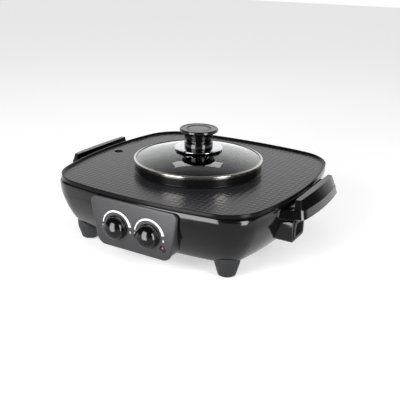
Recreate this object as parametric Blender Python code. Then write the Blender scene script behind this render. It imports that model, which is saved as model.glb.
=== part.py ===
"""Electric hot pot and grill: a cast plate with a pot well, a glass lid, a shell on four feet and two dials.

Metres, +Z up. The table is at z = 0 and the front, with the dials, faces -Y.
"""
import math

import bmesh
import bpy
from mathutils import Matrix, Vector

MM = 0.001

# Clearances that neighbours share
SEAT_GAP = 0.3 * MM
RUNNING_GAP = 0.3 * MM
CUT_OVERRUN = 4.0 * MM
WELD_DISTANCE = 0.001 * MM

# The grill plate's outline: a square with bulging sides and round corners
PLATE_HALF_X = 190.0 * MM
PLATE_HALF_Y = 183.5 * MM
SIDE_RADIUS_X = 550.0 * MM
SIDE_RADIUS_Y = 800.0 * MM
CORNER_RADIUS = 69.0 * MM
SIDE_STEPS = 3
CORNER_STEPS = 6

# The grill plate
LIP_TOP_Z = 109.7 * MM
LIP_WIDTH = 3.0 * MM
LIP_SLOPE = 2.5 * MM
LIP_HEIGHT = 3.5 * MM
LIP_ROUND = 1.0 * MM
PLATE_THICKNESS = 3.0 * MM
COLLAR_RADIUS = 104.0 * MM
COLLAR_HEIGHT = 12.5 * MM
COLLAR_WALL = 5.0 * MM
COLLAR_FILLET = 6.0 * MM
COLLAR_ROUND = 1.0 * MM
POT_DEPTH = 62.0 * MM
POT_WALL = 3.0 * MM
POT_DRAFT = 2.0 * MM
POT_CORNER_RADIUS = 9.0 * MM
ARC_STEPS = 3
DRAIN_INSET = 26.0 * MM
DRAIN_RADIUS = 7.0 * MM
BOSS_RADIUS = 5.0 * MM
BOSS_LENGTH = 11.0 * MM
POT_BOSS_RADIUS = 6.0 * MM
POT_BOSS_LENGTH = 5.0 * MM

# The body shell
SHELL_WALL = 2.5 * MM
SHELL_BOTTOM_Z = 21.5 * MM
SHELL_TOP_INSET = 1.0 * MM
SHOULDER_DROP = 6.0 * MM
SHOULDER_INSET = 0.5 * MM
SHOULDER_CORNER_RADIUS = 54.0 * MM
SHELL_TAPER = 36.0 * MM
SHELL_PROFILE_SHARES = ((0.18, 0.03), (0.36, 0.13), (0.55, 0.28), (0.73, 0.48), (0.86, 0.67), (0.95, 0.84),
                        (1.0, 1.0))
SHELL_FLANGE = 34.0 * MM
BASE_OVERLAP = 8.0 * MM
BASE_THICKNESS = 3.0 * MM
VENT_SLOTS = 7
VENT_SLOT_PITCH = 12.0 * MM
VENT_SLOT_WIDTH = 4.0 * MM
VENT_SLOT_LENGTH = 60.0 * MM
VENT_SLOT_END_SHARE = 0.45

# Feet
FOOT_INSET_X = 64.5 * MM
FOOT_INSET_Y = 55.5 * MM
FOOT_BOTTOM_RADIUS = 13.8 * MM
FOOT_TOP_RADIUS = 19.0 * MM
FOOT_ROUND = 2.2 * MM
FOOT_REACH = 22.0 * MM
PAD_THICKNESS = 1.4 * MM
PAD_RADIUS = 9.5 * MM
FOOT_SIDES = 18

# Handles
GRIP_DEPTH = 23.0 * MM
GRIP_BOW = 5.5 * MM
GRIP_TOP_BOW = 2.4 * MM
GRIP_TOP_RISE = 2.0 * MM
GRIP_TOP_WIDTH = 10.0 * MM
GRIP_FINGER_GAP = 9.5 * MM
GRIP_SHOULDER_DROP = 12.0 * MM
GRIP_HALF_LENGTH = 68.0 * MM
GRIP_END_SLOPE = 7.0 * MM
GRIP_CORNER_RADIUS = 7.0 * MM
GRIP_STEPS = 8
LOOP_HEIGHT = 16.5 * MM
LOOP_BEVEL = 4.0 * MM
ARM_SPLAY = 16.0 * MM
ARM_ROOT_INSET = 14.0 * MM
ARM_ROOT_WIDTH = 14.0 * MM
ARM_WIDTH = 12.0 * MM
GRIP_MERGE = 3.0 * MM
GRIP_LEDGE = 0.4 * MM

# Control housing and panel
PANEL_PROUD = 2.0 * MM
PANEL_THICKNESS = 2.0 * MM
PANEL_TOP_DROP = 12.0 * MM
PANEL_HEIGHT = 72.0 * MM
PANEL_TOP_HALF = 76.5 * MM
PANEL_BOTTOM_HALF = 64.0 * MM
PANEL_TOP_ROUND = 5.0 * MM
PANEL_BOTTOM_ROUND = 16.0 * MM
PANEL_EDGE = 1.4 * MM
HOUSING_DEPTH = 40.0 * MM
HOUSING_WALL = 3.0 * MM
HOUSING_INSET = 1.5 * MM
WINDOW_MARGIN = 9.0 * MM

# Dials
DIAL_SPACING = 57.0 * MM
DIAL_DROP = 38.5 * MM
KNOB_RADIUS = 17.5 * MM
KNOB_SKIRT = 2.2 * MM
KNOB_BODY_RADIUS = 16.4 * MM
KNOB_SIDE_HEIGHT = 12.0 * MM
KNOB_CROWN_HEIGHT = 15.5 * MM
KNOB_HEIGHT = 16.5 * MM
KNOB_GRIP_WIDTH = 9.0 * MM
KNOB_GRIP_BACK = 11.0 * MM
KNOB_POINTER = 20.0 * MM
KNOB_POINTER_TAPER = 8.0 * MM
KNOB_DOME_SHARES = ((0.97, 0.30), (0.88, 0.58), (0.70, 0.80), (0.40, 0.95), (0.0, 1.0))
KNOB_AIR = 0.8 * MM
KNOB_EDGE = 0.8 * MM
KNOB_SIDES = 28
KNOB_BORE_DEPTH = 9.0 * MM
SHAFT_RADIUS = 3.0 * MM
PANEL_HOLE_RADIUS = 4.5 * MM
THERMOSTAT_WIDTH = 30.0 * MM
THERMOSTAT_HEIGHT = 26.0 * MM
THERMOSTAT_DEPTH = 17.0 * MM
THERMOSTAT_SOCKET = 9.0 * MM
THERMOSTAT_NECK_RADIUS = 6.0 * MM
THERMOSTAT_NECK = 3.0 * MM

# Pilot lamp
LAMP_INSET = 12.0 * MM
LAMP_RISE = 18.5 * MM
LENS_RADIUS = 3.4 * MM
LENS_FLANGE = 0.8 * MM
LENS_PROUD = 1.2 * MM
LAMP_RADIUS = 4.6 * MM
LAMP_LENGTH = 13.0 * MM

# Power inlet
INLET_PROUD = 10.0 * MM
INLET_INSET_Y = 135.5 * MM
INLET_WIDTH = 46.0 * MM
INLET_BOTTOM_Z = 44.7 * MM
INLET_HEIGHT = 34.0 * MM
INLET_DEPTH = 34.0 * MM
INLET_ROUND = 5.0 * MM
SOCKET_WIDTH = 30.0 * MM
SOCKET_HEIGHT = 22.0 * MM
SOCKET_ROUND = 4.0 * MM
SOCKET_WALL = 1.6 * MM
SOCKET_DEPTH = 17.0 * MM
SOCKET_BACK = 5.0 * MM
SOCKET_RIM = 1.2 * MM
PIN_LENGTH = 22.0 * MM
PIN_RECESS = 6.0 * MM
PIN_WIDTH = 2.2 * MM
PIN_HEIGHT = 4.0 * MM
PIN_SPACING = 14.0 * MM
PIN_OFFSET = 4.0 * MM

# Heating parts and the parts round them
ELEMENT_RADIUS = 3.2 * MM
GRILL_ELEMENT_INSET = 44.0 * MM
GRILL_ELEMENT_OPENING = 34.0 * MM
ELEMENT_LEG = 17.0 * MM
ELEMENT_BEND = 8.0 * MM
POT_ELEMENT_RADIUS = 58.0 * MM
POT_ELEMENT_GAP_DEG = 24.0
POT_ELEMENT_STEPS = 28
POT_ELEMENT_LEG = 8.0 * MM
CLAMP_RADIUS = 60.0 * MM
CLAMP_THICKNESS = 1.6 * MM
CLAMP_SIDES = 24
REFLECTOR_INSET = 8.0 * MM
REFLECTOR_RIM = 6.0 * MM
REFLECTOR_THICKNESS = 1.0 * MM
REFLECTOR_HOLE_RADIUS = 107.0 * MM
PASS_GAP = 1.5 * MM
TERMINAL_BLOCK_SIZE = (16.0 * MM, 34.0 * MM, 13.0 * MM)
TERMINAL_BLOCK_INSET = 90.0 * MM
TERMINAL_PITCH = 10.0 * MM
TERMINAL_HOLE_RADIUS = 2.2 * MM
TERMINAL_HOLE_DEPTH = 6.0 * MM
WIRE_RADIUS = 1.4 * MM
WIRE_STEPS = 9

# Fat drain and its cup
SPOUT_WALL = 1.5 * MM
SPOUT_BORE_RADIUS = 5.6 * MM
SPOUT_FLANGE = 3.0 * MM
SPOUT_FLANGE_THICKNESS = 1.5 * MM
SPOUT_END_Z = 69.5 * MM
SLEEVE_BOTTOM_Z = 31.0 * MM
SLEEVE_WIDTH = 64.0 * MM
SLEEVE_HEIGHT = 37.0 * MM
SLEEVE_WALL = 2.0 * MM
SLEEVE_LENGTH = 62.0 * MM
CUP_GAP = 0.5 * MM
CUP_WALL = 1.6 * MM
CUP_TOP_GAP = 4.0 * MM
CUP_FRONT_THICKNESS = 3.0 * MM
CUP_PULL = 7.0 * MM
CUP_PULL_WIDTH = 30.0 * MM
CUP_PULL_THICKNESS = 3.0 * MM
CUP_EDGE = 1.0 * MM

# Screws
SCREW_RADIUS = 1.8 * MM
SCREW_HEAD_RADIUS = 3.8 * MM
SCREW_HEAD = 2.2 * MM
SCREW_CLEARANCE = 0.3 * MM
SLOPE_GAP = 1.0 * MM
SCREW_SIDES = 10
TIE_INSET_X = 86.0 * MM
TIE_INSET_Y = 107.5 * MM
TIE_BITE = 8.0 * MM
HANDLE_SCREW_INSET = 15.0 * MM
HANDLE_SCREW_BITE = 9.0 * MM
HOUSING_SCREW_INSET = 8.0 * MM
HOUSING_SCREW_RISE = 35.0 * MM
HOUSING_SCREW_BITE = 6.0 * MM
HOUSING_SLOPE_GAP = 2.3 * MM
HOUSING_POST_RADIUS = 4.5 * MM

# Lid
LID_RADIUS = 105.7 * MM
LID_RIM_WIDTH = 3.6 * MM
LID_RIM_WALL = 0.8 * MM
LID_GLASS_THICKNESS = 3.0 * MM
LID_DOME_RISE = 17.0 * MM
LID_SIDES = 40
LID_DOME_STEPS = 5
LID_BORE_RADIUS = 5.0 * MM
VENT_X = -46.0 * MM
VENT_Y = 42.0 * MM
VENT_RADIUS = 3.5 * MM
VENT_FLANGE = 1.8 * MM
VENT_PROUD = 1.0 * MM
VENT_BORE_RADIUS = 1.2 * MM
VENT_SIDES = 14
DISC_RADIUS = 39.5 * MM
DISC_THICKNESS = 1.2 * MM
DISC_CUP = 2.2 * MM
DISC_SIDES = 28
LID_KNOB_HEIGHT = 31.0 * MM
LID_KNOB_CAP_RADIUS = 31.5 * MM
LID_KNOB_NECK_RADIUS = 23.0 * MM
LID_KNOB_WAIST_RADIUS = 20.4 * MM
LID_KNOB_BASE_RADIUS = 23.3 * MM
LID_KNOB_RECESS_RADIUS = 19.5 * MM
LID_KNOB_RECESS = 1.5 * MM
LID_KNOB_RIM = 2.0 * MM
LID_KNOB_BORE = 20.0 * MM
LID_KNOB_PROFILE_SHARES = (0.03, 0.17, 0.26, 0.34, 0.50, 0.68, 0.86)
LID_WASHER_RADIUS = 13.0 * MM
LID_WASHER_THICKNESS = 1.6 * MM
LID_SCREW_RADIUS = 2.4 * MM
LID_SCREW_HEAD_RADIUS = 6.0 * MM
LID_SCREW_HEAD = 3.0 * MM

# Heights and reaches that follow from the sizes above
GRILL_Z = LIP_TOP_Z - LIP_HEIGHT
UNDERSIDE_Z = GRILL_Z - PLATE_THICKNESS
COLLAR_TOP_Z = GRILL_Z + COLLAR_HEIGHT
POT_INNER_RADIUS = COLLAR_RADIUS - COLLAR_WALL
POT_FLOOR_Z = COLLAR_TOP_Z - POT_DEPTH
POT_UNDERSIDE_Z = POT_FLOOR_Z - POT_WALL
SHELL_TOP_Z = UNDERSIDE_Z - SEAT_GAP
SHOULDER_Z = SHELL_TOP_Z - SHOULDER_DROP
BASE_TOP_Z = SHELL_BOTTOM_Z - SEAT_GAP
BASE_BOTTOM_Z = BASE_TOP_Z - BASE_THICKNESS
GRIP_TOP_Z = LIP_TOP_Z + GRIP_TOP_RISE
GRIP_SHOULDER_Z = LIP_TOP_Z - GRIP_SHOULDER_DROP
GRIP_INNER_X = PLATE_HALF_X + GRIP_FINGER_GAP
GRIP_OUTER_X = GRIP_INNER_X + GRIP_DEPTH
GRIP_TOP_HALF_LENGTH = GRIP_HALF_LENGTH - GRIP_END_SLOPE
ARM_ROOT_HALF = GRIP_HALF_LENGTH + ARM_SPLAY
ARM_ROOT_X = PLATE_HALF_X - ARM_ROOT_INSET
HANDLE_SCREW_Y = ARM_ROOT_HALF - HANDLE_SCREW_INSET
DRAIN_X = DRAIN_INSET - PLATE_HALF_X
SLEEVE_FACE_X = -PLATE_HALF_X
INLET_FACE_X = PLATE_HALF_X + INLET_PROUD
INLET_CENTRE_Y = INLET_INSET_Y - PLATE_HALF_Y
FOOT_X = PLATE_HALF_X - FOOT_INSET_X
FOOT_Y = PLATE_HALF_Y - FOOT_INSET_Y
TERMINAL_BLOCK_X = PLATE_HALF_X - TERMINAL_BLOCK_INSET
TIE_X = PLATE_HALF_X - TIE_INSET_X
TIE_Y = PLATE_HALF_Y - TIE_INSET_Y
PANEL_FACE_Y = -PLATE_HALF_Y - PANEL_PROUD
PANEL_TOP_Z = LIP_TOP_Z - PANEL_TOP_DROP
PANEL_BOTTOM_Z = PANEL_TOP_Z - PANEL_HEIGHT
PANEL_SLOPE = (PANEL_TOP_HALF - PANEL_BOTTOM_HALF) / PANEL_HEIGHT
HOUSING_SCREW_X = PANEL_BOTTOM_HALF + PANEL_SLOPE * HOUSING_SCREW_RISE - HOUSING_SCREW_INSET
DIAL_Z = PANEL_TOP_Z - DIAL_DROP
LAMP_X = PANEL_BOTTOM_HALF - LAMP_INSET
PANEL_BACK_Y = PANEL_FACE_Y + PANEL_THICKNESS
FRONT_REACH = -PANEL_FACE_Y + KNOB_AIR + KNOB_HEIGHT
CENTRE_SHIFT_Y = (FRONT_REACH - PLATE_HALF_Y) / 2
REFLECTOR_Z = UNDERSIDE_Z - BOSS_LENGTH - SEAT_GAP
LID_SEAT_Z = COLLAR_TOP_Z + SEAT_GAP
GLASS_EDGE_RADIUS = LID_RADIUS - LID_RIM_WALL - SEAT_GAP
GLASS_EDGE_Z = LID_SEAT_Z + LID_RIM_WALL + SEAT_GAP
DOME_RADIUS = (GLASS_EDGE_RADIUS ** 2 + LID_DOME_RISE ** 2) / (2 * LID_DOME_RISE)
GLASS_TOP_Z = GLASS_EDGE_Z + LID_GLASS_THICKNESS + LID_DOME_RISE


# Scene and object helpers

def clear_scene():
    """Remove every object that the file starts with."""
    for thing in list(bpy.data.objects):
        bpy.data.objects.remove(thing, do_unlink=True)


def make_empty(name, location, parent=None, rotation=(0.0, 0.0, 0.0)):
    """An empty that carries pieces; a moving group's empty lies on its joint's axis."""
    empty = bpy.data.objects.new(name, None)
    bpy.context.scene.collection.objects.link(empty)
    empty.location = location
    empty.rotation_euler = rotation
    empty.parent = parent
    return empty


def make_material(name, colour, roughness, metallic=0.0, alpha=1.0):
    """A Principled BSDF with the piece's colour, roughness and metallic value."""
    finish = bpy.data.materials.new(name)
    finish.use_nodes = True
    shader = finish.node_tree.nodes["Principled BSDF"]
    shader.inputs["Base Color"].default_value = (*colour, 1.0)
    shader.inputs["Roughness"].default_value = roughness
    shader.inputs["Metallic"].default_value = metallic
    shader.inputs["Alpha"].default_value = alpha
    return finish


def add_piece(name, shape, finish, parent, smooth_deg=32.0):
    """Turn a bmesh into a named object, smooth where its faces meet at a small angle."""
    bmesh.ops.recalc_face_normals(shape, faces=shape.faces)
    mesh = bpy.data.meshes.new(name)
    shape.to_mesh(mesh)
    shape.free()
    mesh.materials.append(finish)
    mesh.shade_smooth()
    mesh.set_sharp_from_angle(angle=math.radians(smooth_deg))
    piece = bpy.data.objects.new(name, mesh)
    bpy.context.scene.collection.objects.link(piece)
    piece.parent = parent
    return piece


def add_helper(name, shape, parent):
    """A cutter or an added form: it is not a piece, and shows only as a wire."""
    helper = add_piece(name, shape, None, parent)
    helper.hide_render = True
    helper.display_type = "WIRE"
    return helper


def combine(piece, helper, operation="DIFFERENCE"):
    """Cut a helper out of a piece, or join it to the piece."""
    step = piece.modifiers.new(helper.name, "BOOLEAN")
    step.operation = operation
    step.object = helper


# Shape helpers

def outline_arcs(inset, corner_radius):
    """Centres, radii and turning angles of one quarter's three arcs, moved inwards by inset."""
    side_x = SIDE_RADIUS_X - inset
    side_y = SIDE_RADIUS_Y - inset
    corner = corner_radius - inset
    centre_x = PLATE_HALF_X - SIDE_RADIUS_X
    centre_y = PLATE_HALF_Y - SIDE_RADIUS_Y
    reach_x = side_x - corner
    reach_y = side_y - corner
    apart = math.hypot(centre_x, centre_y)
    along = (reach_x ** 2 - reach_y ** 2 + apart ** 2) / (2 * apart)
    across = math.sqrt(reach_x ** 2 - along ** 2)
    start = Vector((centre_x, 0.0))
    way = (Vector((0.0, centre_y)) - start) / apart
    centre = start + way * along + Vector((-way.y, way.x)) * across
    first = math.atan2(centre.y, centre.x - centre_x)
    last = math.atan2(centre.y - centre_y, centre.x)
    return centre_x, centre_y, side_x, side_y, corner, centre, first, last


def plate_outline(inset=0.0, corner_radius=CORNER_RADIUS):
    """Points of the plate's outline, parallel to it at inset, counter-clockwise from +X."""
    centre_x, centre_y, side_x, side_y, corner, centre, first, last = outline_arcs(inset, corner_radius)
    quarter = []
    for step in range(SIDE_STEPS):
        turn = first * step / SIDE_STEPS
        quarter.append((centre_x + side_x * math.cos(turn), side_x * math.sin(turn)))
    for step in range(CORNER_STEPS):
        turn = first + (last - first) * step / CORNER_STEPS
        quarter.append((centre.x + corner * math.cos(turn), centre.y + corner * math.sin(turn)))
    for step in range(SIDE_STEPS):
        turn = last + (math.pi / 2 - last) * step / SIDE_STEPS
        quarter.append((side_y * math.cos(turn), centre_y + side_y * math.sin(turn)))
    top = (0.0, centre_y + side_y)
    half = quarter + [top] + [(-x, y) for x, y in reversed(quarter)]
    return half + [(x, -y) for x, y in reversed(half[1:-1])]


def circle_like(radius):
    """A circle with one point in line with each point of the plate's outline."""
    turns = [math.atan2(y, x) for x, y in plate_outline()]
    return [(radius * math.cos(turn), radius * math.sin(turn)) for turn in turns]


def arc_points(centre_r, centre_z, radius, start_deg, end_deg, steps=ARC_STEPS):
    """Points of an arc in a profile, ends included."""
    points = []
    for step in range(steps + 1):
        turn = math.radians(start_deg + (end_deg - start_deg) * step / steps)
        points.append((centre_r + radius * math.cos(turn), centre_z + radius * math.sin(turn)))
    return points


def loft(rings, closed=False):
    """A skin through rings of points with equal counts; its ends are closed with a face, or to each other."""
    shape = bmesh.new()
    loops = [[shape.verts.new((x, y, height)) for x, y in points] for points, height in rings]
    if not closed:
        shape.faces.new(loops[0])
        shape.faces.new(loops[-1])
    following = loops[1:] + loops[:1] if closed else loops[1:]
    for lower, upper in zip(loops, following):
        for index in range(len(lower)):
            shape.faces.new((lower[index - 1], lower[index], upper[index], upper[index - 1]))
    return shape


def turned(profile, sides, closed=False):
    """A shape turned about Z from (radius, height) points; a closed profile makes a ring."""
    shape = bmesh.new()
    corners = [shape.verts.new((r, 0.0, z)) for r, z in profile]
    edges = [shape.edges.new(pair) for pair in zip(corners, corners[1:])]
    if closed:
        edges.append(shape.edges.new((corners[-1], corners[0])))
    bmesh.ops.spin(shape, geom=corners + edges, cent=(0.0, 0.0, 0.0), axis=(0.0, 0.0, 1.0),
                   angle=math.tau, steps=sides, use_merge=True, use_duplicate=False)
    bmesh.ops.remove_doubles(shape, verts=shape.verts, dist=WELD_DISTANCE)
    return shape


def prism(points, low, high):
    """A solid with a flat outline in XY between two heights."""
    shape = bmesh.new()
    face = shape.faces.new([shape.verts.new((x, y, low)) for x, y in points])
    grown = bmesh.ops.extrude_face_region(shape, geom=[face])
    moved = [item for item in grown["geom"] if isinstance(item, bmesh.types.BMVert)]
    bmesh.ops.translate(shape, verts=moved, vec=(0.0, 0.0, high - low))
    return shape


def block(low, high):
    """A box between its lowest and highest corners."""
    shape = bmesh.new()
    size = Vector(high) - Vector(low)
    place = Matrix.Translation((Vector(low) + Vector(high)) / 2) @ Matrix.Diagonal((*size, 1.0))
    bmesh.ops.create_cube(shape, size=1.0, matrix=place)
    return shape


def round_corners(points, radii, steps=ARC_STEPS):
    """Replace each corner of a polygon by an arc of its own radius."""
    rounded = []
    count = len(points)
    for index, (corner, radius) in enumerate(zip(points, radii)):
        here = Vector(corner)
        back = (Vector(points[index - 1]) - here).normalized()
        ahead = (Vector(points[(index + 1) % count]) - here).normalized()
        if radius == 0.0:
            rounded.append(tuple(here))
            continue
        half = back.angle(ahead) / 2
        centre = here + (back + ahead).normalized() * (radius / math.sin(half))
        start = here + back * (radius / math.tan(half)) - centre
        end = here + ahead * (radius / math.tan(half)) - centre
        for step in range(steps + 1):
            point = centre + start.slerp(end, step / steps).normalized() * radius
            rounded.append((point.x, point.y))
    return rounded


def rectangle(width, height, radius=0.0, centre=(0.0, 0.0)):
    """A rectangle's outline, with its corners rounded."""
    x, y = centre
    corners = [(x - width / 2, y - height / 2), (x + width / 2, y - height / 2),
               (x + width / 2, y + height / 2), (x - width / 2, y + height / 2)]
    return round_corners(corners, [radius] * len(corners))


def along_x(shape, x=0.0, y=0.0, z=0.0):
    """Turn a shape made along +Z so that it runs along +X, with its local X upwards, and place it."""
    turn = Matrix(((0, 0, 1), (0, 1, 0), (-1, 0, 0))).to_4x4()
    bmesh.ops.transform(shape, matrix=Matrix.Translation((x, y, z)) @ turn, verts=shape.verts)
    return shape


def along_y(shape, x=0.0, y=0.0, z=0.0):
    """Turn a shape made along +Z so that it runs along -Y, with its local Y upwards, and place it."""
    turn = Matrix.Rotation(math.pi / 2, 4, "X")
    bmesh.ops.transform(shape, matrix=Matrix.Translation((x, y, z)) @ turn, verts=shape.verts)
    return shape


def moved(shape, x=0.0, y=0.0, z=0.0):
    """Move a shape."""
    bmesh.ops.translate(shape, verts=shape.verts, vec=(x, y, z))
    return shape


def mirrored_x(shape):
    """Mirror a shape across the YZ plane."""
    bmesh.ops.scale(shape, vec=(-1.0, 1.0, 1.0), verts=shape.verts)
    bmesh.ops.reverse_faces(shape, faces=shape.faces)
    return shape


def rod(radius, length, sides=SCREW_SIDES):
    """A round bar from z = 0 to its length, with flats on its X and Y sides."""
    shape = turned([(0.0, 0.0), (radius, 0.0), (radius, length), (0.0, length)], sides)
    bmesh.ops.rotate(shape, verts=shape.verts, matrix=Matrix.Rotation(math.pi / sides, 3, "Z"))
    return shape


def screw_shape(length, radius=SCREW_RADIUS, head_radius=SCREW_HEAD_RADIUS, head=SCREW_HEAD):
    """A screw whose head lies below z = 0 and whose shank runs up to its length."""
    profile = [(0.0, -head), (head_radius, -head), (head_radius, 0.0), (radius, 0.0),
               (radius, length), (0.0, length)]
    return turned(profile, SCREW_SIDES)


def tube(name, points, radius, finish, parent, resolution=2):
    """A round tube along a smooth route."""
    curve = bpy.data.curves.new(name, "CURVE")
    curve.dimensions = "3D"
    curve.bevel_depth = radius
    curve.bevel_resolution = resolution
    curve.use_fill_caps = True
    route = curve.splines.new("POLY")
    route.points.add(len(points) - 1)
    for point, place in zip(route.points, points):
        point.co = (*place, 1.0)
    curve.materials.append(finish)
    piece = bpy.data.objects.new(name, curve)
    bpy.context.scene.collection.objects.link(piece)
    piece.parent = parent
    return piece


# The cast plate and what is fixed to it

def plate_rings():
    """Rings of the casting: below the pot, out to the skirt, over the lip, across the grill, into the pot."""
    corner_r = POT_INNER_RADIUS - POT_DRAFT - POT_CORNER_RADIUS
    fillet_r = COLLAR_RADIUS + COLLAR_FILLET
    upper = [(COLLAR_RADIUS + COLLAR_FILLET, GRILL_Z)]
    upper += arc_points(fillet_r, GRILL_Z + COLLAR_FILLET, COLLAR_FILLET, 240.0, 180.0, 2)
    upper += [(COLLAR_RADIUS, COLLAR_TOP_Z - COLLAR_ROUND), (COLLAR_RADIUS - COLLAR_ROUND, COLLAR_TOP_Z)]
    upper += [(POT_INNER_RADIUS + COLLAR_ROUND, COLLAR_TOP_Z)]
    upper += [(POT_INNER_RADIUS, COLLAR_TOP_Z - COLLAR_ROUND)]
    upper += arc_points(corner_r, POT_FLOOR_Z + POT_CORNER_RADIUS, POT_CORNER_RADIUS, 0.0, -90.0)
    outer_corner = POT_CORNER_RADIUS + POT_WALL
    lower = arc_points(corner_r, POT_UNDERSIDE_Z + outer_corner, outer_corner, -90.0, 0.0)
    lower += [(POT_INNER_RADIUS + POT_WALL, UNDERSIDE_Z)]
    rings = [(plate_outline(LIP_ROUND), UNDERSIDE_Z), (plate_outline(), UNDERSIDE_Z + LIP_ROUND),
             (plate_outline(), LIP_TOP_Z - LIP_ROUND), (plate_outline(LIP_ROUND), LIP_TOP_Z),
             (plate_outline(LIP_WIDTH), LIP_TOP_Z), (plate_outline(LIP_WIDTH + LIP_SLOPE), GRILL_Z)]
    rings += [(circle_like(r), z) for r, z in upper]
    return [(circle_like(r), z) for r, z in lower] + rings


def make_grill_plate(root, finish):
    """The casting with its drain hole, its four screw bosses and the boss below the pot."""
    plate = add_piece("grill_plate", loft(plate_rings()), finish, root)
    drain = rod(DRAIN_RADIUS, PLATE_THICKNESS + 2 * CUT_OVERRUN)
    drain = moved(drain, x=DRAIN_X, z=UNDERSIDE_Z - CUT_OVERRUN)
    combine(plate, add_helper("cut_drain_hole", drain, root))
    for side_x in (-1, 1):
        for side_y in (-1, 1):
            place = {"x": side_x * TIE_X, "y": side_y * TIE_Y}
            boss = rod(BOSS_RADIUS, BOSS_LENGTH + PLATE_THICKNESS / 2)
            boss = moved(boss, z=UNDERSIDE_Z - BOSS_LENGTH, **place)
            label = "%s_%s" % ("right" if side_x > 0 else "left", "rear" if side_y > 0 else "front")
            combine(plate, add_helper("add_boss_" + label, boss, root), "UNION")
            hole = moved(rod(SCREW_RADIUS + SCREW_CLEARANCE, TIE_BITE + CUT_OVERRUN),
                         z=UNDERSIDE_Z - BOSS_LENGTH - CUT_OVERRUN, **place)
            combine(plate, add_helper("cut_boss_" + label, hole, root))
    boss = moved(rod(POT_BOSS_RADIUS, POT_BOSS_LENGTH + POT_WALL / 2), z=POT_UNDERSIDE_Z - POT_BOSS_LENGTH)
    combine(plate, add_helper("add_pot_boss", boss, root), "UNION")
    hole = moved(rod(SCREW_RADIUS + SCREW_CLEARANCE, POT_BOSS_LENGTH + CUT_OVERRUN),
                 z=POT_UNDERSIDE_Z - POT_BOSS_LENGTH - CUT_OVERRUN)
    combine(plate, add_helper("cut_pot_boss", hole, root))


def bend(start, corner, end, radius, steps=4):
    """Points round a corner of a route, on an arc-like curve between its two runs."""
    start, corner, end = Vector(start), Vector(corner), Vector(end)
    first = corner + (start - corner).normalized() * radius
    last = corner + (end - corner).normalized() * radius
    shares = [step / steps for step in range(steps + 1)]
    return [first.lerp(corner, share).lerp(corner.lerp(last, share), share) for share in shares]


def make_grill_element(root, finish):
    """A sheathed heater below the grill, along the plate's outline, with both ends bent down at the front."""
    height = UNDERSIDE_Z - SEAT_GAP - ELEMENT_RADIUS
    loop = plate_outline(GRILL_ELEMENT_INSET)
    half = GRILL_ELEMENT_OPENING / 2
    front = [point for point in loop if not (point[1] < 0 and abs(point[0]) < half + ELEMENT_BEND)]
    start = min(range(len(front)), key=lambda i: (front[i][1] > 0, front[i][0] < 0, front[i][0]))
    ring = [Vector((x, y, height)) for x, y in front[start:] + front[:start]]
    y_front = min(point[1] for point in loop)
    ends = []
    for side, near in ((1, ring[0]), (-1, ring[-1])):
        corner = (side * half, y_front, height)
        foot = Vector((side * half, y_front, height - ELEMENT_LEG))
        ends.append([foot] + bend(foot, corner, near, ELEMENT_BEND))
    tube("grill_element", ends[0] + ring + ends[1][::-1], ELEMENT_RADIUS, finish, root)


def make_pot_element(root, finish):
    """An open heater ring below the pot, with both ends turned out and down."""
    height = POT_UNDERSIDE_Z - SEAT_GAP - ELEMENT_RADIUS
    gap = math.radians(POT_ELEMENT_GAP_DEG)
    ring = []
    for step in range(POT_ELEMENT_STEPS + 1):
        turn = -math.pi / 2 + gap + (math.tau - 2 * gap) * step / POT_ELEMENT_STEPS
        across = Vector((math.cos(turn), math.sin(turn), 0.0)) * POT_ELEMENT_RADIUS
        ring.append(across + Vector((0.0, 0.0, height)))
    ends = []
    for near in (ring[0], ring[-1]):
        corner = near + Vector((near.x, near.y, 0.0)).normalized() * (2 * ELEMENT_BEND)
        foot = corner - Vector((0.0, 0.0, POT_ELEMENT_LEG + ELEMENT_BEND))
        ends.append([foot] + bend(foot, corner, near, ELEMENT_BEND))
    tube("pot_element", ends[0] + ring + ends[1][::-1], ELEMENT_RADIUS, finish, root)


def make_element_clamp(root, steel):
    """The disc that holds the pot's heater up, and its screw."""
    top = POT_UNDERSIDE_Z - 2 * (SEAT_GAP + ELEMENT_RADIUS)
    bore = POT_BOSS_RADIUS + SCREW_CLEARANCE
    boss_end = POT_UNDERSIDE_Z - POT_BOSS_LENGTH
    step_z = top - CLAMP_THICKNESS
    disc = turned([(SCREW_RADIUS + SCREW_CLEARANCE, step_z), (CLAMP_RADIUS, step_z),
                   (CLAMP_RADIUS, top), (SCREW_RADIUS + SCREW_CLEARANCE, top)], CLAMP_SIDES, closed=True)
    clamp = add_piece("pot_element_clamp", disc, steel, root)
    spacer = boss_end - SEAT_GAP
    if spacer > top:
        pad = turned([(SCREW_RADIUS + SCREW_CLEARANCE, step_z), (bore, step_z), (bore, spacer),
                      (SCREW_RADIUS + SCREW_CLEARANCE, spacer)], CLAMP_SIDES, closed=True)
        combine(clamp, add_helper("add_clamp_spacer", pad, root), "UNION")
    screw = moved(screw_shape(POT_UNDERSIDE_Z - step_z - 2 * SEAT_GAP), z=step_z - SEAT_GAP)
    add_piece("pot_clamp_screw", screw, steel, root)


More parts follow.
